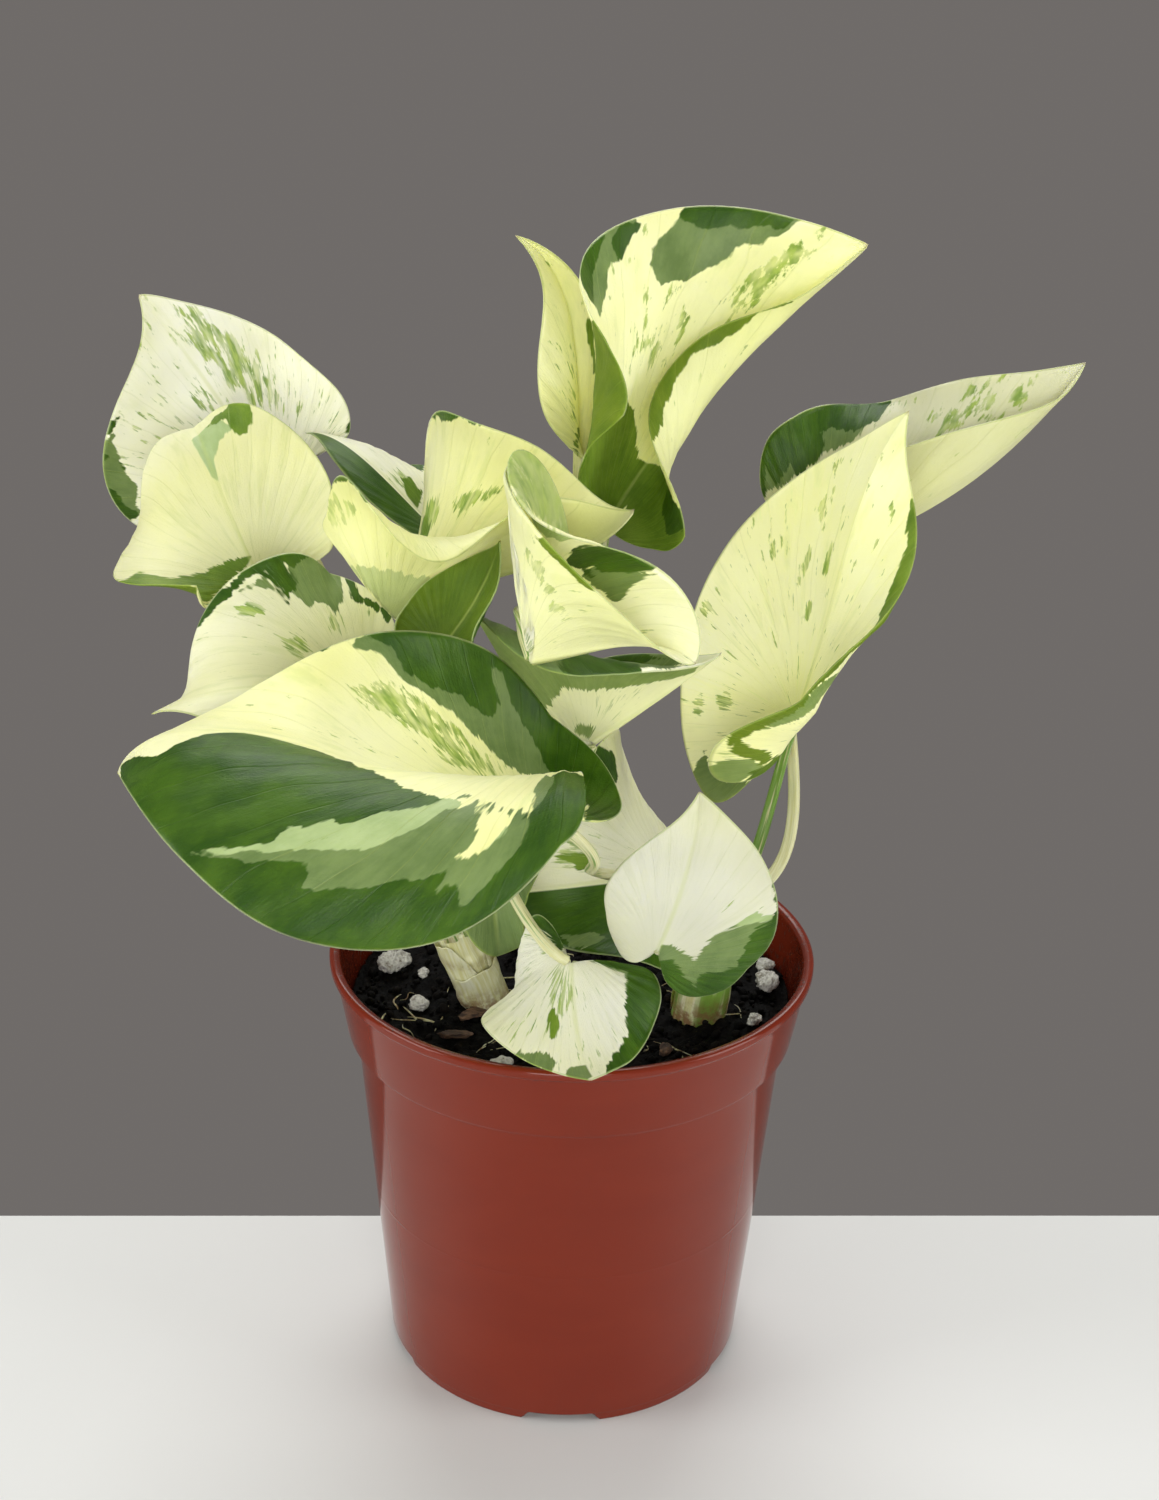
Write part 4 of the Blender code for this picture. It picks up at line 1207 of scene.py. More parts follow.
            Patch(FERN, (-8, 64, -4, 92, 13, 105, 26, 103, 29, 75, 24, 19, 18, 6, 8, -7, -2, -4, -7, 28)),
            Patch(SAGE, (33, 71, 35, 79, 36, 92, 46, 90, 54, 81, 59, 72, 57, 68, 50, 69, 46, 74, 40, 71)),
            Patch(DARK, (35, 80, 36, 92, 43, 92, 53, 81, 50, 79, 41, 82)),
            Patch(DARK, (49, 69, 51, 77, 57, 75, 59, 68)),
            Patch(SAGE, (52, 47, 54, 56, 57, 60, 62, 58, 67, 61, 76, 51, 87, 24, 74, 28, 71, 35, 67, 34,
                57, 39)),
            Patch(DARK, (64, 60, 70, 62, 86, 26, 80, 28, 68, 47)),
            Patch(FERN, (-5, 0, 4, -14, 18, 7, 20, -14, 13, -79, 2, -98, -7, -79)),
            Patch(SAGE, (-2, -39, 3, -32, 8, -34, 7, -54, 1, -62, -2, -54)),
            Patch(DARK, (1, -68, 7, -54, 12, -59, 10, -83, 2, -98)),
            Patch(FERN, (17, -103, 19, -92, 25, -83, 46, -78, 57, -61, 67, -59, 76, -41, 67, -74, 50, -103)),
        ),
        flecks=(Flecks(72, 17, 24, 9, 80), Flecks(42, 38, 20, 25, 50)),
        warmth=0.75, tone=1.06, speckle=(0.22, 0.18), seed=11,
    ),
    PothosLeaf(
        name="leaf_far_right",
        base=(53.0, 30.0, 180.0), heading=-12, pitch=21, roll=49, length=70.0,
        half_width=(31.0, 18.0), lobe=(13.5, 10.5), arch=4, droop=14, sway=53, twist=19,
        fold=((25, 20), (95, 59)), curl=((1, -69, 6), (38, 122, 23)), lobe_lift=(18, -6),
        patches=(
            Patch(DARK, (-21, 44, -21, 66, -17, 85, -10, 99, 2, 109, 17, 114, 33, 110, 47, 99, 33, 75,
                24, 72, 18, 74, 15, 80, 8, 80, 9, 70, 6, 62, -5, 52, -6, 62, -13, 47, -16, 63, -18, 39)),
            Patch(SAGE, (7, 85, 19, 85, 28, 74, 20, 67, 5, 63, -13, 45, -21, 44, -21, 66, -9, 71)),
        ),
        flecks=(Flecks(65, 35, 30, 40, 60),),
        warmth=0.3, tone=0.75, speckle=(0.3, 0.2), seed=12,
    ),
    PothosLeaf(
        name="leaf_right_large",
        base=(46.0, -2.5, 157.0), heading=50, pitch=61, roll=-42, length=65.5,
        half_width=(30.5, 20.5), lobe=(24.0, 22.5), arch=-24, droop=38, sway=-23, twist=60,
        fold=((21, -45), (-27, -37)), curl=((81, 77, -43), (94, 52, -39)), lobe_lift=(3, 60),
        patches=(
            Patch(SAGE, (-39, 45, -36, 65, -31, 71, -23, 65, -28, 56, -30, 45, -27, 22, -35, 27)),
            Patch(FERN, (-24, -70, 7, -91, 17, -85, 27, -91, 37, -70, 58, -61, 75, -43, 71, -60, 57, -85,
                37, -101, 17, -107, 0, -104, -17, -90)),
            Patch(SAGE, (-14, -77, 4, -64, 12, -50, 15, -72, 10, -90, -3, -91)),
            Patch(DARK, (-34, -31, -25, -14, -16, -10, -18, -28, -27, -36)),
            Patch(SAGE, (-35, -50, -33, -35, -23, -28, -22, -51, -27, -62, -34, -60)),
            Patch(FERN, (-23, -31, -19, -28, -18, -50, -20, -74, -24, -70)),
        ),
        flecks=(
            Flecks(20, 92, 5, 7, 90), Flecks(44, 57, 6, 7, 100), Flecks(41, 32, 8, 5, 100),
            Flecks(29, 20, 6, 5, 100), Flecks(46, 14, 9, 5, 90), Flecks(61, 34, 6, 6, 90),
            Flecks(-6, 60, 6, 8, 100), Flecks(-10, 77, 5, 6, 90),
        ),
        warmth=0.75, tone=1.18, speckle=(0.24, 0.28), seed=13,
    ),
    PothosLeaf(
        name="leaf_small_white",
        base=(17.0, -48.0, 123.5), heading=3, pitch=69, roll=73, length=35.0, half_width=(14.5, 22.0),
        lobe=(8.5, 9.5), arch=31, droop=-56, sway=20, twist=14, fold=((-24, 36), (-24, 13)),
        curl=((4, 5, 6), (-17, -7, 8)), lobe_lift=(-34, -26),
        patches=(
            Patch(DARK, (-33, -59, -23, -23, -7, -2, -3, -16, -18, -48, -9, -48, 0, -82, 16, -76, 29, -77,
                36, -91, 62, -71, 58, -85, 37, -106, 10, -109, -19, -94)),
            Patch(SAGE, (-8, -3, 4, -1, 6, -11, 0, -38, 18, -41, 27, -60, 36, -92, 0, -85, -20, -51)),
            Patch(PALE, (-8, -3, 4, -1, 6, -11, -3, -47, -18, -50)),
            Patch(PALE, (23, -54, 38, -71, 37, -92, 30, -77)),
        ),
        warmth=0.15, tone=0.7, speckle=(0.02, 0.02), seed=14,
    ),
    PothosLeaf(
        name="leaf_lower_middle",
        base=(18.0, -1.5, 117.0), heading=-143, pitch=6, roll=-57, length=36.5,
        half_width=(21.0, 32.0), lobe=(9.5, 14.0), arch=51, droop=17, sway=-14, twist=-37,
        fold=((-5, 12), (-12, 17)), curl=((-26, 81, -17), (15, 26, -9)), lobe_lift=(0, -20),
        patches=(
            Patch(DARK, (-5, 4, 100, 2, 87, 33, 56, 86, 26, 107, -11, 102, -32, 54, -23, 17)),
            Patch(DARK, (40, 62, 47, 69, 58, 71, 65, 51, 50, 53), kept=False),
            Patch(SAGE, (32, 59, 47, 75, 61, 78, 68, 49, 50, 46)),
            Patch(DARK, (17, -66, 26, -62, 44, -88, 41, -97, 26, -86)),
            Patch(FERN, (40, -12, 50, -10, 64, -24, 44, -19)),
        ),
        flecks=(Flecks(53, -20, 12, 14, 100),),
        warmth=0.4, tone=0.85, speckle=(0, 0.2), seed=15,
    ),
    PothosLeaf(
        name="leaf_over_rim",
        base=(0, -45.0, 118.5), heading=-88, pitch=-30, roll=0, length=30.0, half_width=(19.5, 19.5),
        lobe=(2.0, 12.5), arch=6, droop=-47, sway=14, twist=-8, fold=((-22, -7), (-8, -7)),
        curl=((17, -24, -25), (-90, 0, -26)), lobe_lift=(-5, 21),
        patches=(
            Patch(DARK, (-13, 46, -9, 86, -2, 99, 16, 106, 42, 101, 65, 76, 87, 41, 98, 12, 79, 25, 46, 61,
                0, 60, -3, 18)),
            Patch(SAGE, (-6, 55, -3, 74, 14, 75, 16, 60, 2, 57, -2, 29)),
            Patch(FERN, (34, -19, 46, -15, 56, -22, 54, -28, 37, -26)),
            Patch(SAGE, (81, 1, 95, 3, 99, -4, 88, -24, 82, -17)),
            Patch(SAGE, (62, -53, 66, -33, 74, -28, 81, -36, 73, -56, 64, -65)),
            Patch(DARK, (-46, -48, -32, -17, -12, -6, -9, -12, -24, -29, -41, -63)),
        ),
        flecks=(Flecks(-20, -25, 17, 18, 100), Flecks(20, -12, 30, 20, 80)),
        warmth=0.2, tone=0.85, speckle=(0.28, 0.35), seed=16,
    ),
    PothosLeaf(
        name="leaf_small_low",
        base=(-17.0, -20.0, 125.5), heading=-81, pitch=-44, roll=1, length=20.5,
        half_width=(10.5, 9.0), lobe=(3.5, 3.0), arch=54, droop=40, sway=8, twist=-4,
        fold=((18, 19), (8, 21)), curl=((-23, 89, -19), (-24, 5, 7)), lobe_lift=(0, 0),
        patches=(Patch(SAGE, (-23, 106, 107, 106, 107, -110, -23, -110)),),
        warmth=0.4, seed=17,
    ),
)


# ---- Pot


class PlasticFinish:
    """Glossy brick-red plastic: fine swirls a shade deeper, faint rubs and a little grit."""

    RED: Colour = (0.170, 0.019, 0.0062)
    DEEP: Colour = (0.158, 0.017, 0.0056)
    RUBBED: Colour = (0.360, 0.075, 0.035)
    SOILED: Colour = (0.035, 0.018, 0.012)

    def __init__(self, line_height: float, rim_height: float) -> None:
        """Builds the material.

        Args:
            line_height: Height of the mould's faint line, in millimetres.
            rim_height: Height of the band's ledge, in millimetres.
        """
        kit, shader = new_material("pot_gloss")
        height = kit.split(kit.place())[2]
        swirl = kit.noise(kit.place(), (25.0, 25.0, 60.0), 3.0, 0.6, 0.6)
        colour = kit.mix(kit.step(swirl, 0.3, 0.7), self.RED, self.DEEP)
        rubs = kit.step(kit.noise(kit.place(), (90.0, 90.0, 420.0), 4.0, 0.75), 0.66, 0.8)
        worn = kit.times(rubs, kit.number("edge"))
        colour = kit.mix(kit.times(worn, 0.5), colour, self.RUBBED)
        inside = kit.number("inside")
        dust = kit.step(kit.noise(kit.place(), 700.0, 3.0, 0.6), 0.55, 0.62)
        film = kit.times(inside, kit.linear(dust, 0.5, 0.12))
        colour = kit.mix(film, colour, self.SOILED)
        specks = kit.step(kit.cells(kit.place(), 230.0), 0.075, 0.045)
        high = kit.step(height, (rim_height + 6.0) * MM, (rim_height + 17.0) * MM)
        specks = kit.times(specks, high)
        colour = kit.mix(kit.times(specks, 0.8), colour, self.SOILED)
        grain = kit.group("grain", vector=kit.scaled(kit.place(), (260.0, 260.0, 260.0)), coarse=0.5)
        rough = kit.linear(grain.outputs[0], 0.06, 0.12)
        rough = kit.linear(worn, 0.2, kit.linear(film, 0.5, rough))
        off = kit.math("ABSOLUTE", kit.minus(height, line_height * MM))
        line = kit.rest_of(kit.step(off, 0.0, 0.0004))
        slow = kit.noise(kit.place(), (55.0, 55.0, 30.0), 2.0, 0.5)
        relief = kit.linear(slow, 0.5, kit.times(line, 0.25))
        relief = kit.linear(grain.outputs[0], 0.05, relief)
        normal = kit.bump(relief, 0.25, 0.0006)
        kit.dress(shader, specular=0.3, base_color=colour, roughness=rough, normal=normal)


@dataclass
class NurseryPot:
    """A thin moulded pot: a tapered wall, a flared band and a rolled lip, a stepped foot with drains."""

    height: float = 97.4
    rim_radius: float = 52.5
    band_bottom: float = 80.0
    band_radius: float = 48.7
    body_radius: float = 46.7
    base_radius: float = 38.5
    wall: float = 1.2
    step: float = 2.5
    channel_height: float = 2.4
    channel_inner: float = 24.6
    channel_outer: float = 36.4
    notches: int = 5
    notch_width: float = 16.0
    notch_height: float = 2.2
    drain_radius: float = 3.2
    around: int = 360

    def corners(self) -> Array:
        """The section's corners from the middle of the underside round to the middle of the floor.

        Returns:
            Rows of radius, height and the radius that rounds the corner.
        """
        floor = self.channel_height + 1.6
        rim, top = self.rim_radius, self.height
        return np.array(
            [
                (0.0, 0.0, 0.0),
                (24.0, 0.0, 0.3),
                (self.channel_inner, self.channel_height, 0.4),
                (self.channel_outer, self.channel_height, 0.4),
                (self.channel_outer + 0.5, 0.0, 0.25),
                (self.base_radius, 0.0, 0.4),
                (self.base_radius + 0.5, self.step - 0.15, 0.12),
                (self.base_radius + 0.95, self.step + 0.1, 0.2),
                (self.body_radius - 0.1, self.band_bottom - 1.3, 0.6),
                (self.band_radius - 0.1, self.band_bottom - 0.1, 0.3),
                (rim - 1.1, top - 2.6, 0.4),
                (rim, top - 2.0, 0.7),
                (rim, top, 1.0),
                (rim - 2.3, top, 1.1),
                (rim - 2.6, top - 2.2, 0.8),
                (self.band_radius - self.wall, self.band_bottom + 1.4, 1.0),
                (self.body_radius - self.wall, self.band_bottom - 0.6, 1.0),
                (self.base_radius - 0.1 - self.wall, floor, 1.2),
                (self.channel_inner - 1.2, floor, 0.5),
                (self.channel_inner - 1.9, 1.6, 0.4),
                (0.0, 1.6, 0.0),
            ]
        )

    def section(self, per_corner: int = 5, per_run: int = 4) -> tuple[Array, Array]:
        """The section with each corner a quadratic curve and points between along each straight run.

        Args:
            per_corner: Points on each corner's curve.
            per_run: Points between one corner and the next.

        Returns:
            Rows of radius and height, and for each how near it is to a corner, 0 to 1.
        """
        keys = self.corners()
        place, round_by = keys[:, :2], keys[:, 2:]
        before, after = np.roll(place, 1, axis=0), np.roll(place, -1, axis=0)
        before[0], after[-1] = place[0], place[-1]
        first = place + unit(before - place) * round_by
        last = place + unit(after - place) * round_by
        t = np.linspace(0, 1, per_corner)[None, :, None]
        curve = first[:, None] * (1 - t) ** 2 + 2 * place[:, None] * t * (1 - t) + last[:, None] * t**2
        u = np.linspace(0, 1, per_run + 2)[None, 1:-1, None]
        u = u * u * (3 - 2 * u)
        run = last[:-1, None] * (1 - u) + first[1:, None] * u
        run = np.concatenate([run, np.full((1, per_run, 2), np.nan)])
        nearness = np.tile(np.r_[np.ones(per_corner), np.zeros(per_run)], (len(keys), 1))
        line = np.concatenate([curve, run], axis=1).reshape(-1, 2)
        keep = ~np.isnan(line[:, 0])
        line, nearness = line[keep], nearness.ravel()[keep]
        fresh = np.r_[True, np.linalg.norm(np.diff(line, axis=0), axis=1) > 1e-4]
        return line[fresh], nearness[fresh]

    def notch_rise(self, turn: Array) -> Array:
        """How high the foot is cut at an angle: slant-sided gaps evenly spaced, the first in front."""
        pitch = math.tau / self.notches
        off = (turn + math.pi / 2 + pitch / 2) % pitch - pitch / 2
        away = np.abs(off) * self.base_radius
        share = (self.notch_width / 2 + 0.9 - away) / 2.1
        return self.notch_height * smooth(0, 1, share)

    def build(self) -> None:
        """Turns the section about the pot's axis and lifts the foot at the notches."""
        line, nearness = self.section()
        turn = turns(self.around)
        radius = line[:, :1] + 0 * turn
        height = line[:, 1:] + 0 * turn
        foot = radius > self.channel_outer - 1.5
        outer = np.arange(len(line)) < len(line) // 2
        lifted = foot & outer[:, None] & (height < self.notch_height)
        height = np.where(lifted, np.maximum(height, self.notch_rise(turn)), height)
        uneven = 0.12 * ripples(turn * 3 + 0 * radius, height / 30, 5, 6.0, 2)
        uneven = uneven * (height > 20) * (radius > 40)
        radius = np.minimum(radius + uneven, self.rim_radius)
        points = np.stack([radius * np.cos(turn), radius * np.sin(turn), height], -1).reshape(-1, 3)
        used, faces = closed_rings(len(line), self.around)
        inside = (np.arange(len(line)) > len(line) * 0.62) * 1.0
        shares = {"edge": nearness, "inside": inside}
        values = {key: np.repeat(share, self.around)[used] for key, share in shares.items()}
        pot = make_mesh("pot", points[used], faces, values)
        self.drill(pot)
        PlasticFinish(self.height * 0.42, self.band_bottom)
        settle(pot, "pot_gloss", "pot_plastic", "nursery_pot")

    def drill(self, pot: Piece) -> None:
        """Cuts the round drain holes through the floor of the channel, between the notches."""
        middle = (self.channel_inner + self.channel_outer) / 2
        bits = []
        for k in range(self.notches):
            turn = -math.pi / 2 + (k + 0.5) * math.tau / self.notches
            x, y = middle * math.cos(turn), middle * math.sin(turn)
            path = np.array([(x, y, self.channel_height + z) for z in (-1.2, 0.2, 1.4, 3.4)])
            bits.append(tube_grid(path, np.full(4, self.drain_radius), 32))
        points, faces, _ = join(bits)
        mesh = bpy.data.meshes.new("drill")
        mesh.from_pydata((points * MM).tolist(), [], faces.tolist())
        drill = placed("drill", mesh)
        cut = pot.modifiers.new("drains", "BOOLEAN")
        cut.operation, cut.solver, cut.object = "DIFFERENCE", "EXACT", drill
        bored = bpy.data.meshes.new_from_object(pot.evaluated_get(bpy.context.evaluated_depsgraph_get()))
        pot.modifiers.clear()
        pot.data = bored
        bpy.data.objects.remove(drill)


# ---- Potting mix and what lies on it


class MixFinish:
    """Damp near-black mix, its browns darkened further as painted shade from the leaves over it: crumbs of
    slightly different browns, each dull with a few wet glints.
    """

    DAMP_AND_SHADED: Colour = (0.0010, 0.0009, 0.0009)
    DRY_AND_SHADED: Colour = (0.0060, 0.0044, 0.0036)
    FIBRE: Colour = (0.026, 0.016, 0.010)

    def __init__(self) -> None:
        """Builds the material."""
        kit, shader = new_material("damp_shaded_mix")
        clouds = kit.noise(kit.place(), 240.0, 4.0, 0.7)
        shade = kit.linear(kit.number("shade"), 0.9, -0.45)
        tone = kit.linear(clouds, 0.8, shade)
        # Partly painted shade: both browns are damp mix darkened further to stand for the shade the leaves
        # cast on it.
        colour = kit.mix(kit.step(tone, 0.2, 0.9), self.DAMP_AND_SHADED, self.DRY_AND_SHADED)
        strands = kit.noise(kit.place(), (300.0, 1400.0, 700.0), 3.0, 0.6, 1.5)
        colour = kit.mix(kit.times(kit.step(strands, 0.6, 0.72), 0.45), colour, self.FIBRE)
        rough = kit.linear(clouds, 0.5, 0.5, clamp=True)
        crumbs = kit.noise(kit.place(), 900.0, 4.0, 0.7)
        normal = kit.bump(kit.linear(crumbs, 0.6, kit.times(clouds, 0.8)), 0.9, 0.0008)
        kit.dress(shader, specular=0.08, base_color=colour, roughness=rough, normal=normal)


class PerliteFinish:
    """Puffed white glass: pitted, chalky, with a stain of mix in the pits."""

    CHALK: Colour = (0.62, 0.61, 0.57)
    STAIN: Colour = (0.20, 0.17, 0.13)

    def __init__(self) -> None:
        """Builds the material."""
        kit, shader = new_material("perlite_chalk")
        pits = kit.cells(kit.place(), 1300.0)
        stain = kit.noise(kit.place(), 520.0, 3.0, 0.65)
        colour = kit.mix(kit.step(stain, 0.48, 0.72), self.CHALK, self.STAIN)
        colour = kit.mix(kit.times(kit.step(pits, 0.5, 0.2), 0.35), colour, self.STAIN)
        kit.dress(
            shader,
            base_color=colour,
            roughness=kit.linear(stain, 0.2, 0.75),
            normal=kit.bump(pits, 0.7, 0.0006),
            subsurface_weight=0.15,
            subsurface_radius=(1.0, 0.95, 0.9),
            subsurface_scale=0.0008,
        )


class BarkFinish:
    """Composted bark: long dark fibres with paler splits."""

    DARK: Colour = (0.030, 0.014, 0.008)
    PALE: Colour = (0.16, 0.085, 0.045)

    def __init__(self) -> None:
        """Builds the material."""
        kit, shader = new_material("bark_chip")
        fibres = kit.noise(kit.place(), (220.0, 1500.0, 1500.0), 3.0, 0.6, 0.4)
        clouds = kit.noise(kit.place(), 380.0, 3.0, 0.6)
        share = kit.step(kit.linear(fibres, 0.7, kit.times(clouds, 0.3)), 0.42, 0.66)
        rough = kit.linear(clouds, 0.3, 0.6)
        colour = kit.mix(share, self.DARK, self.PALE)
        kit.dress(shader, base_color=colour, roughness=rough, normal=kit.bump(fibres, 0.8, 0.0006))


# Height of the mix's top, in millimetres.
MIX_TOP = 88.0


@dataclass
class PottingMix:
    """The mix that fills the pot: a body with an uneven crumbly top, and loose crumbs over it."""

    top: float = MIX_TOP
    floor: float = 4.3
    floor_radius: float = 36.2
    body_radius: float = 44.9
    body_top: float = 80.0
    top_radius: float = 47.6
    rows: int = 150
    around: int = 300
    crumbs: int = 1500
    kinds: int = 12

    def height(self, x: Array, y: Array) -> Array:
        """Height of the top: slow humps, lumps and fine crumbs, lower towards the wall."""
        away = np.hypot(x, y)
        slow = 0.9 * ripples(x, y, 31, 38.0, 2)
        lumps = 0.75 * np.abs(ripples(x, y, 32, 9.0, 2)) + 0.4 * np.abs(ripples(x, y, 33, 4.0, 3))
        return self.top - 1.3 + slow + lumps - 1.0 * smooth(self.top_radius - 6, self.top_radius, away)

    def build(self) -> None:
        """Makes the body of mix and its crumbs."""
        MixFinish()
        turn = turns(self.around)
        share = np.linspace(0, 1, self.rows)[:, None]
        radius = self.top_radius * share**0.8 + 0 * turn
        x, y = radius * np.cos(turn), radius * np.sin(turn)
        top = np.stack([x, y, self.height(x, y)], -1)
        side = np.array(
            [
                (self.top_radius - 0.5, self.top - 4.0),
                (self.body_radius + 0.3, self.body_top + 1.0),
                (self.body_radius - 0.2, self.body_top - 1.6),
                (self.floor_radius + 0.3, self.floor + 1.6),
                (self.floor_radius - 0.6, self.floor),
                (0.0, self.floor),
            ]
        )
        reach = side[:, :1] * (1 - 0.004 * np.abs(ripples(turn * 40, 0 * turn, 34, 9.0, 2)))
        wall = np.stack([reach * np.cos(turn), reach * np.sin(turn), side[:, 1:] + 0 * turn], -1)
        points = np.concatenate([top, wall]).reshape(-1, 3)
        used, faces = closed_rings(self.rows + len(side), self.around, inward=True)
        shade = 0.4 + 0.2 * ripples(points[:, 0], points[:, 1], 35, 5.0, 2)
        body = make_mesh("potting_mix_body", points[used], faces, {"shade": shade[used]})
        settle(body, "damp_shaded_mix", "potting_mix", "potting_mix")
        self.loose_crumbs()

    def loose_crumbs(self) -> None:
        """Crumbs over the top, thickest by the wall, each a turned and sized copy of one of a few lumps."""
        rng = np.random.default_rng(40)
        each = self.crumbs // self.kinds
        made = []
        for kind in range(self.kinds):
            shape, faces = rounded_lump(np.array([1.0, 0.8, 0.62]), 41 + kind, 7, 5, 0.05)
            size = 0.8 + 2.6 * rng.random(each) ** 2.6
            away = (self.top_radius - 1.2) * rng.random(each) ** 0.42
            turn, spin = rng.uniform(0, math.tau, (2, each))
            lean = rng.normal(0, 0.5, each)
            c, s, cl, sl = np.cos(spin), np.sin(spin), np.cos(lean), np.sin(lean)
            x = shape[:, 0] * cl[:, None] + shape[:, 2] * sl[:, None]
            z = shape[:, 2] * cl[:, None] - shape[:, 0] * sl[:, None]
            px = (x * c[:, None] - shape[:, 1] * s[:, None]) * size[:, None]
            py = (x * s[:, None] + shape[:, 1] * c[:, None]) * size[:, None]
            centre_x, centre_y = away * np.cos(turn), away * np.sin(turn)
            level = self.height(centre_x, centre_y) + size * 0.18
            points = np.stack(
                [px + centre_x[:, None], py + centre_y[:, None], z * size[:, None] + level[:, None]], -1
            )
            numbers = faces[None] + len(shape) * np.arange(each)[:, None, None]
            shade = np.repeat(rng.random(each), len(shape))
            made.append((points.reshape(-1, 3), numbers.reshape(-1, 3), {"shade": shade}))
        settle(make_mesh("potting_mix_crumbs", *join(made)), "damp_shaded_mix", "potting_mix")


@dataclass(frozen=True)
class Grit:
    """A loose lump on the mix: its name, place, size, turn in degrees and seed."""

    name: str
    spot: Pair
    size: Triple
    turn: float
    seed: int

    def build(self) -> None:
        """Makes the lump, sunk a little into the mix."""
        perlite = self.name.startswith("perlite")
        size = np.array(self.size) * (1.08 if perlite else 1.02)
        points, faces = rounded_lump(size, self.seed * 11, 40, 26, 0.09 if perlite else 0.05)
        if not perlite:
            points[:, 1] *= 1 + 0.08 * np.sin(points[:, 0] * 3)
        points = points @ turning(2, self.turn) + (*self.spot, MIX_TOP + self.size[2] * 0.34)
        finish, slot = ("perlite_chalk", "perlite") if perlite else ("bark_chip", "bark")
        settle(make_mesh(self.name + "_lump", points, faces), finish, slot, self.name)


GRIT = (
    Grit("perlite_left_large", (-39.0, 5.5), (7.0, 5.4, 4.6), 20, 3),
    Grit("perlite_left_small", (-32.6, 2.2), (3.2, 2.6, 2.2), 70, 4),
    Grit("perlite_left_front", (-32.5, -11.5), (4.2, 3.6, 3.2), 10, 5),
    Grit("perlite_front", (-14.0, -35.0), (4.6, 3.2, 2.4), 15, 6),
    Grit("perlite_right_large", (42.5, 1.0), (5.6, 4.8, 4.4), 35, 7),
    Grit("perlite_right_back", (43.0, 9.0), (4.6, 3.8, 3.2), 80, 8),
    Grit("perlite_right_front", (39.5, -14.5), (4.0, 3.4, 2.8), 50, 9),
    Grit("bark_left", (-24.5, -23.5), (8.0, 3.0, 2.0), 5, 10),
    Grit("bark_middle", (-21.0, -15.0), (7.0, 4.0, 2.4), 30, 11),
    Grit("bark_right", (20.0, -28.0), (3.6, 3.0, 2.6), 60, 12),
)


# ---- Stems and stalks


class StalkFinish:
    """Smooth wet-looking stalk: cream to white with green stripes that run its length."""

    CREAM: Colour = (0.56, 0.54, 0.25)
    WHITE: Colour = (0.68, 0.68, 0.45)
    GREEN: Colour = (0.11, 0.24, 0.025)
    BROWN: Colour = (0.13, 0.058, 0.018)

    def __init__(self) -> None:
        """Builds the material."""
        kit, shader = new_material("stalk_striped")
        round_way = kit.times(kit.number("turn"), math.tau)
        place = kit.node("ShaderNodeCombineXYZ")
        kit.feed(place.inputs[0], kit.times(kit.math("COSINE", round_way), 1.6))
        kit.feed(place.inputs[1], kit.times(kit.math("SINE", round_way), 1.6))
        kit.feed(place.inputs[2], kit.linear(kit.number("along"), 0.035, kit.number("seed")))
        stripes = kit.noise(place.outputs[0], 1.25, 2.0, 0.55)
        fine = kit.noise(place.outputs[0], (4.5, 4.5, 3.0), 3.0, 0.6)
        ground = kit.mix(kit.step(fine, 0.35, 0.65), self.CREAM, self.WHITE)
        level = kit.minus(0.86, kit.times(kit.number("green"), 0.72))
        share = kit.step(stripes, kit.minus(level, 0.05), kit.plus(level, 0.07))
        colour = kit.mix(share, ground, kit.mix(fine, self.GREEN, (0.19, 0.33, 0.05)))
        blotch = kit.step(kit.noise(kit.place(), 420.0, 4.0, 0.7), 0.36, 0.6)
        scar = kit.times(kit.number("brown"), blotch)
        colour = kit.mix(scar, colour, kit.mix(fine, self.BROWN, (0.26, 0.13, 0.05)))
        kit.dress(
            shader,
            base_color=colour,
            roughness=kit.linear(scar, 0.4, kit.linear(fine, 0.12, 0.27)),
            normal=kit.bump(kit.linear(scar, -0.5, kit.times(fine, 0.5)), 0.5, 0.0004),
            subsurface_weight=0.3,
            subsurface_radius=(1.0, 0.9, 0.45),
            subsurface_scale=0.0015,
        )


def striped(surface: Surface, green: float, seed: float, brown: Value) -> Surface:
    """A tube with what its stripes need.

    Args:
        surface: Its points, faces and values.
        green: How much of it is green.
        seed: Picks its stripes.
        brown: How brown it is, or how brown each point is.

    Returns:
        The tube with those values added.
    """
    points, faces, values = surface
    more = {"green": green, "seed": seed, "brown": brown}
    return points, faces, values | {key: np.zeros(len(points)) + value for key, value in more.items()}


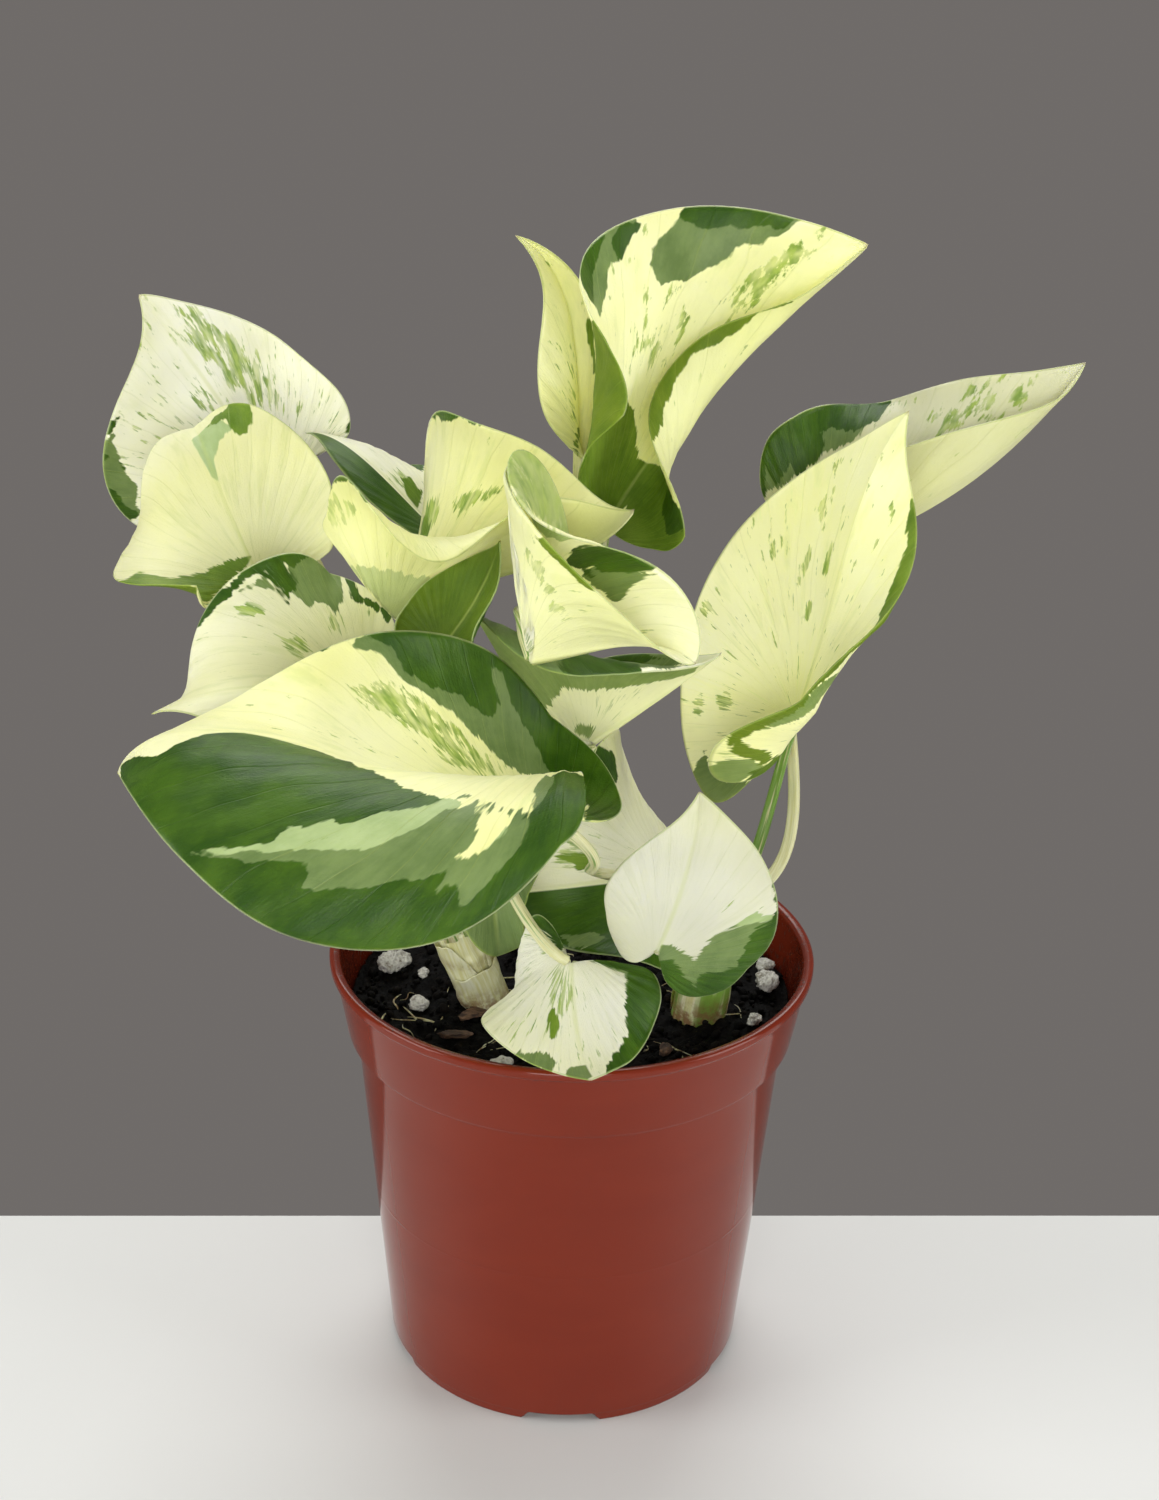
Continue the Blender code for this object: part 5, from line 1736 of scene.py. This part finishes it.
@dataclass
class Cutting:
    """A rooted stem: swollen at its joints, wrapped in split sheaths, brown where it enters the mix."""

    name: str
    foot: Triple
    top: Triple
    radius: Pair
    green: float
    seed: int

    def heading(self) -> Array:
        """Unit vector from the foot to the top."""
        return unit(np.subtract(self.top, self.foot))

    def axis(self, share: Array) -> Array:
        """Places on the line from the foot to the top, by shares of it."""
        return np.array(self.foot) + np.subtract(self.top, self.foot) * share[..., None]

    def build(self) -> None:
        """Makes the stem and its sheaths as one piece, brown at its foot and at one old scar."""
        outer = self.sheath(low=0.06, high=0.62, opening=0.3, fit=1.14)
        inner = self.sheath(low=0.42, high=0.97, opening=2.6, fit=1.07)
        surface = join([self.core(), outer, inner])
        height = surface[0][:, 2] - self.foot[2]
        brown = 0.95 * (1 - smooth(4.0, 11.0, height)) + 0.4 * bell(height, 15, 1.2)
        surface = striped(surface, self.green, self.seed, np.clip(brown, 0, 1))
        settle(make_mesh(self.name + "_cutting", *surface), "stalk_striped", "stem", self.name)

    def core(self) -> Surface:
        """The stem itself: a tube that swells at two joints and is ribbed lengthwise."""
        rings, around = 70, 72
        t = np.linspace(0, 1, rings)
        radii = self.radius[0] + (self.radius[1] - self.radius[0]) * t - 0.25
        for joint in (0.3, 0.72):
            radii = radii + 0.48 * bell(t, joint, 0.05)
        turn = turns(around)
        ribs = 1 + 0.035 * np.cos(turn * 7 + self.seed)
        ribs = ribs + 0.05 * ripples(turn * 4, t[:, None] * 9, self.seed, 6.0, 2)
        return tube_grid(self.axis(t), radii, around, ribs)

    def sheath(self, low: float, high: float, opening: float, fit: float) -> Surface:
        """A split sleeve on the stem: a closed thin shell round all but a gap that widens upwards.

        Args:
            low: Where it starts, as a share of the stem.
            high: Where its torn edge is.
            opening: Direction of the gap, in radians.
            fit: Its radius as a share of the stem's.

        Returns:
            Points, triangles and values.
        """
        rows, cols = 30, 48
        t = np.linspace(0, 1, rows)[:, None]
        u = np.linspace(0, 1, cols)[None]
        gap = 0.35 + 1.5 * t**1.5
        turn = opening + gap / 2 + u * (math.tau - gap)
        torn = (high - low) * (t - 0.10 * t * np.abs(ripples(turn, 0 * turn, self.seed + 3, 2.0, 2)))
        centre = self.axis(low + torn)
        side, other = square_to(self.heading())
        uneven = 0.04 * ripples(turn * 2, t * 4, self.seed + 4, 3.0, 2)
        radius = self.radius[0] * fit * (1 + 0.10 * t**2 + uneven)
        out = np.cos(turn)[..., None] * side + np.sin(turn)[..., None] * other
        thick = 0.32 * np.sqrt(np.clip(4 * u * (1 - u), 0, 1)) * (1 - t**4) + 0.02
        outer = centre + out * (radius + thick / 2)[..., None]
        inner = centre + out * (radius - thick / 2)[..., None]
        points = np.vstack([outer.reshape(-1, 3), inner.reshape(-1, 3)])
        grid = np.arange(rows * cols).reshape(rows, cols)
        back = grid + rows * cols
        skins = [self.quads(grid), self.quads(back)[:, ::-1]]
        edges = [(grid[0], back[0]), (back[-1], grid[-1])]
        edges += [(back[:, 0], grid[:, 0]), (grid[:, -1], back[:, -1])]
        skins += [np.stack([a[:-1], b[:-1], b[1:], a[1:]], -1) for a, b in edges]
        faces = as_triangles(np.vstack(skins))
        along = np.tile((t + 0 * u).ravel() * 14, 2)
        return points, faces, {"along": along, "turn": np.tile((turn / math.tau).ravel(), 2)}

    @staticmethod
    def quads(grid: Array) -> Array:
        """Quads of an open grid of point numbers."""
        return np.stack([grid[:-1, :-1], grid[:-1, 1:], grid[1:, 1:], grid[1:, :-1]], -1).reshape(-1, 4)


CUTTINGS = (
    Cutting("stem_left", (-17, -7, 84), (-25, -9, 106), (4.6, 4.3), 0.25, 2),
    Cutting("stem_middle", (-6, -6, 84), (-6, -2, 108), (3.9, 4.2), 0.30, 5),
    Cutting("stem_right", (27, -9, 84), (31, -6, 112), (5.2, 4.4), 0.50, 8),
)


@dataclass
class Stalk:
    """A leaf's stalk: where it leaves its stem, how it rises, and how it reaches the blade."""

    leaf: str
    stem: str
    place: Pair
    rise: Triple
    reach: Triple
    green: float
    foot: float = 1.4
    tip: float = 1.05
    around: int = 40

    def path(self, count: int = 60) -> Array:
        """A cubic curve from just over the stem's crown to just short of the blade, with its ends drawn in.

        Args:
            count: Points on it.

        Returns:
            Rows of x, y, z in millimetres.
        """
        stem = next(cutting for cutting in CUTTINGS if cutting.name == self.stem)
        joint = next(leaf.base for leaf in LEAVES if leaf.name == "leaf_" + self.leaf)
        heading = stem.heading()
        x = unit(np.cross((0.0, 1.0, 0.0), heading))
        y = np.cross(heading, x)
        crown = np.array(stem.top) + x * self.place[0] + y * self.place[1]
        start = crown + heading * (stem.radius[1] * 0.35 + 0.8)
        way = -unit(self.reach)
        end = joint + way * 1.8
        curve = bezier([start, start + self.rise, end - self.reach, end], count - 2)
        return np.vstack([crown - heading * 0.5, curve, joint + way * 0.9])

    def build(self) -> None:
        """A channelled tube, thick at its foot and a little swollen at the knee below the blade."""
        path = self.path()
        length = np.r_[0, np.cumsum(np.linalg.norm(np.diff(path, axis=0), axis=1))]
        to_go = length[-1] - length
        radii = self.tip + (self.foot - self.tip) * (1 - length / length[-1]) ** 1.2
        radii = radii + 0.12 * bell(to_go, 5.0, 3.2) + 0.4 * np.exp(-length / 2.0)
        off = (turns(self.around) - math.pi / 2 + math.pi) % math.tau - math.pi
        deep = smooth(1.0, 8.0, to_go)[:, None]
        lips = 0.06 * bell(np.abs(off), 0.95, 0.3)
        groove = 1 - deep * (0.26 * bell(off, 0, 0.5) - lips)
        tube = tube_grid(path, radii, self.around, groove)
        seed = len(self.leaf) + 3 * self.green + abs(self.rise[0])
        tube = striped(tube, self.green, seed, 0.35 * np.exp(-tube[2]["along"] / 1.5))
        stalk = make_mesh("stalk_" + self.leaf, *tube)
        settle(stalk, "stalk_striped", "leaf_stalk", "petiole_" + self.leaf)


STALKS = (
    Stalk("front_left", "stem_right", (-1.8, -2.4), (-47, -17, 19), (-22, 0, 16), 0.35),
    Stalk("right_large", "stem_right", (2.9, 0.9), (6, 4, 6), (4, -14, 27), 0.65),
    Stalk("far_right", "stem_right", (1.7, -2.5), (29, 1, 7), (19, -5, 20), 0.10),
    Stalk("small_white", "stem_right", (0.0, 3.0), (-1, -10, 11), (-4, -16, 7), 0.20),
    Stalk("lower_middle", "stem_right", (-2.8, 1.0), (-3, 0, 3), (-4, 4, 3), 0.30),
    Stalk("over_rim", "stem_middle", (-3.0, -0.9), (-16, -6, 35), (10, -1, -5), 0.35),
    Stalk("centre_boat", "stem_middle", (-2.3, 2.1), (-8, -9, 41), (4, -1, 11), 0.45),
    Stalk("centre_right", "stem_middle", (3.0, 0.9), (-7, 26, 58), (6, -16, -12), 0.5),
    Stalk("centre_wave", "stem_middle", (0.7, 3.0), (-7, 1, 23), (-10, 0, 28), 0.45),
    Stalk("centre_under", "stem_left", (-2.9, -0.9), (-2, -10, 35), (8, 6, 8), 0.6),
    Stalk("crown", "stem_middle", (-0.7, -3.0), (7, 14, 50), (2, 3, 14), 0.5),
    Stalk("narrow_top", "stem_middle", (2.3, -2.1), (13, 1, 19), (2, 1, 13), 0.5),
    Stalk("mid_left", "stem_left", (0.7, 2.9), (-12, 8, 23), (-5, -3, 7), 0.4),
    Stalk("upper_left", "stem_left", (-0.7, -2.9), (-11, -16, 10), (-14, 6, 25), 0.4),
    Stalk("back_left", "stem_left", (2.9, 0.9), (-6, 13, 22), (-7, 4, 12), 0.35),
    Stalk("dark_curl", "stem_left", (2.2, -2.0), (-7, 15, 35), (4, 6, 11), 0.5),
    Stalk("small_low", "stem_left", (-2.2, 2.0), (-11, 6, 7), (9, -6, 0), 0.5),
)


@dataclass
class Strands:
    """Fine roots and fibres lying on the mix, and one thicker white root."""

    top: float = MIX_TOP
    count: int = 60

    def build(self) -> None:
        """Each strand is a thin tube along a curve just over the surface."""
        rng = np.random.default_rng(77)
        parts = []
        for _ in range(self.count):
            away, turn = 44 * rng.random() ** 0.5, rng.uniform(0, math.tau)
            heading, length = rng.uniform(0, math.tau), rng.uniform(4, 12)
            level = self.top + rng.uniform(-0.4, 0.3)
            start = np.array([away * math.cos(turn), away * math.sin(turn), level])
            way = np.array([math.cos(heading), math.sin(heading), 0.0]) * length
            bend = rng.normal(0, 1.6, (3, 3)) * (1, 1, 0.35)
            corners = [start, start + way * 0.33 + bend[0], start + way * 0.66 + bend[1], start + way]
            path = bezier(corners, 14)
            away_now = np.hypot(path[:, 0], path[:, 1])
            path[:, :2] *= np.minimum(1, 46.5 / np.maximum(away_now, 1e-6))[:, None]
            tone = rng.uniform(0.3, 1.0)
            parts.append(self.strand(path, rng.uniform(0.09, 0.2), tone))
        bends = [(-12, -24, self.top - 0.3), (-8, -27, 90.2), (-3, -26, 90), (0, -22, self.top - 0.6)]
        parts.append(self.strand(bezier(bends, 30), 0.42, 0.0))
        settle(make_mesh("strands", *join(parts)), "stalk_striped", "potting_mix")

    @staticmethod
    def strand(path: Array, radius: float, brown: float) -> Surface:
        """One strand's tube, thin at both ends and brown by that share."""
        count = len(path)
        thin = radius * np.clip(np.minimum(np.arange(count) + 1, count - np.arange(count)) / 4, 0.3, 1)
        return striped(tube_grid(path, thin, 6), 0.0, 0.0, brown)


# ---- Studio


@dataclass
class Studio:
    """The pale table, the soft lights and the camera."""

    table_back: float = 0.0405
    table_skew: float = 0.043
    camera_place: Triple = (0.0006, -0.525, 0.386)
    camera_down: float = 24.7
    camera_roll: float = 0.0245
    lens: float = 66.0
    aim: Triple = (0.0, 0.0, 0.1)
    light_tone: Colour = (1.0, 1.0, 0.98)
    wall_tone: Colour = (0.160, 0.148, 0.141)
    room_tone: Colour = (0.30, 0.30, 0.295)

    def build(self) -> None:
        """Makes the table, the lights, the backdrop's tone and the camera."""
        self.table()
        self.light("front", (0.0, -1.3, 0.45), (0.8, 0.6), 10.0)
        self.light("left", (-1.1, -0.3, 0.5), (0.6, 0.8), 7.4)
        self.light("right", (1.1, -0.3, 0.5), (0.6, 0.8), 6.4)
        self.light("behind", (0.0, 0.7, 0.9), (0.9, 0.6), 6.8)
        self.light("overhead", (-0.1, 0.05, 1.1), (0.8, 0.8), 2.0)
        self.backdrop()
        self.camera()
        bpy.context.scene.view_settings.view_transform = "Standard"

    def table(self) -> None:
        """A pale smooth table top that ends behind the pot."""
        reach, back = 1.2, self.table_back
        skew = reach * self.table_skew
        corners = [(-reach, -reach), (reach, -reach), (reach, back + skew), (-reach, back - skew)]
        mesh = bpy.data.meshes.new("table")
        mesh.from_pydata([(x, y, 0.0) for x, y in corners], [], [(0, 1, 2, 3)])
        top = placed("table", mesh)
        kit, shader = new_material("table_pale")
        cloud = kit.noise(kit.place(), 9.0, 3.0, 0.5)
        colour = kit.mix(cloud, (0.66, 0.665, 0.655), (0.70, 0.705, 0.695))
        kit.dress(shader, base_color=colour, roughness=0.55)
        mesh.materials.append(bpy.data.materials["table_pale"])

    def light(self, name: str, place: Triple, size: Pair, power: float) -> None:
        """A rectangular soft light that points at the plant.

        Args:
            name: Its name.
            place: Where it stands, in metres.
            size: Width and height in metres.
            power: Watts.
        """
        data = bpy.data.lights.new(name, "AREA")
        data.shape = "RECTANGLE"
        data.size, data.size_y = size
        data.energy = power
        data.color = self.light_tone
        lamp = placed(name, data)
        lamp.location = place
        lamp.visible_camera = False
        aim = Vector(self.aim) - Vector(place)
        lamp.rotation_euler = aim.to_track_quat("-Z", "Y").to_euler()

    def backdrop(self) -> None:
        """A plain grey wall behind the plant, and an even pale light from the room before it."""
        world = bpy.data.worlds.new("backdrop")
        world.use_nodes = True
        kit = Kit(world.node_tree)
        way = kit.split(kit.node("ShaderNodeTexCoord").outputs["Generated"])
        before = kit.step(way[1], 0.12, 0.0)
        room = kit.mix(before, self.wall_tone, self.room_tone)
        seen = kit.node("ShaderNodeLightPath").outputs["Is Camera Ray"]
        light = world.node_tree.nodes["Background"].inputs["Color"]
        kit.feed(light, kit.mix(seen, room, self.wall_tone))
        bpy.context.scene.world = world

    def camera(self) -> None:
        """A long lens looking down at the plant, turned a touch about its own line of sight."""
        data = bpy.data.cameras.new("camera")
        data.lens = self.lens
        data.sensor_width = 36.0
        data.sensor_fit = "AUTO"
        camera = placed("camera", data)
        tilt = Matrix.Rotation(math.radians(90 - self.camera_down), 4, "X")
        roll = Matrix.Rotation(self.camera_roll, 4, "Z")
        camera.matrix_world = Matrix.Translation(self.camera_place) @ tilt @ roll
        bpy.context.scene.camera = camera


def main() -> None:
    """Builds the finishes, then the pot, the mix, the stems and stalks, the leaves and the studio."""
    logging.basicConfig(level=logging.INFO, format="%(message)s")
    build_torn_edge()
    build_flecks()
    build_grain()
    PerliteFinish()
    BarkFinish()
    StalkFinish()
    LeafFinish()
    for part in (NurseryPot(), PottingMix(), *GRIT, Strands(), *CUTTINGS, *STALKS, *LEAVES, Studio()):
        part.build()


if __name__ == "__main__":
    main()
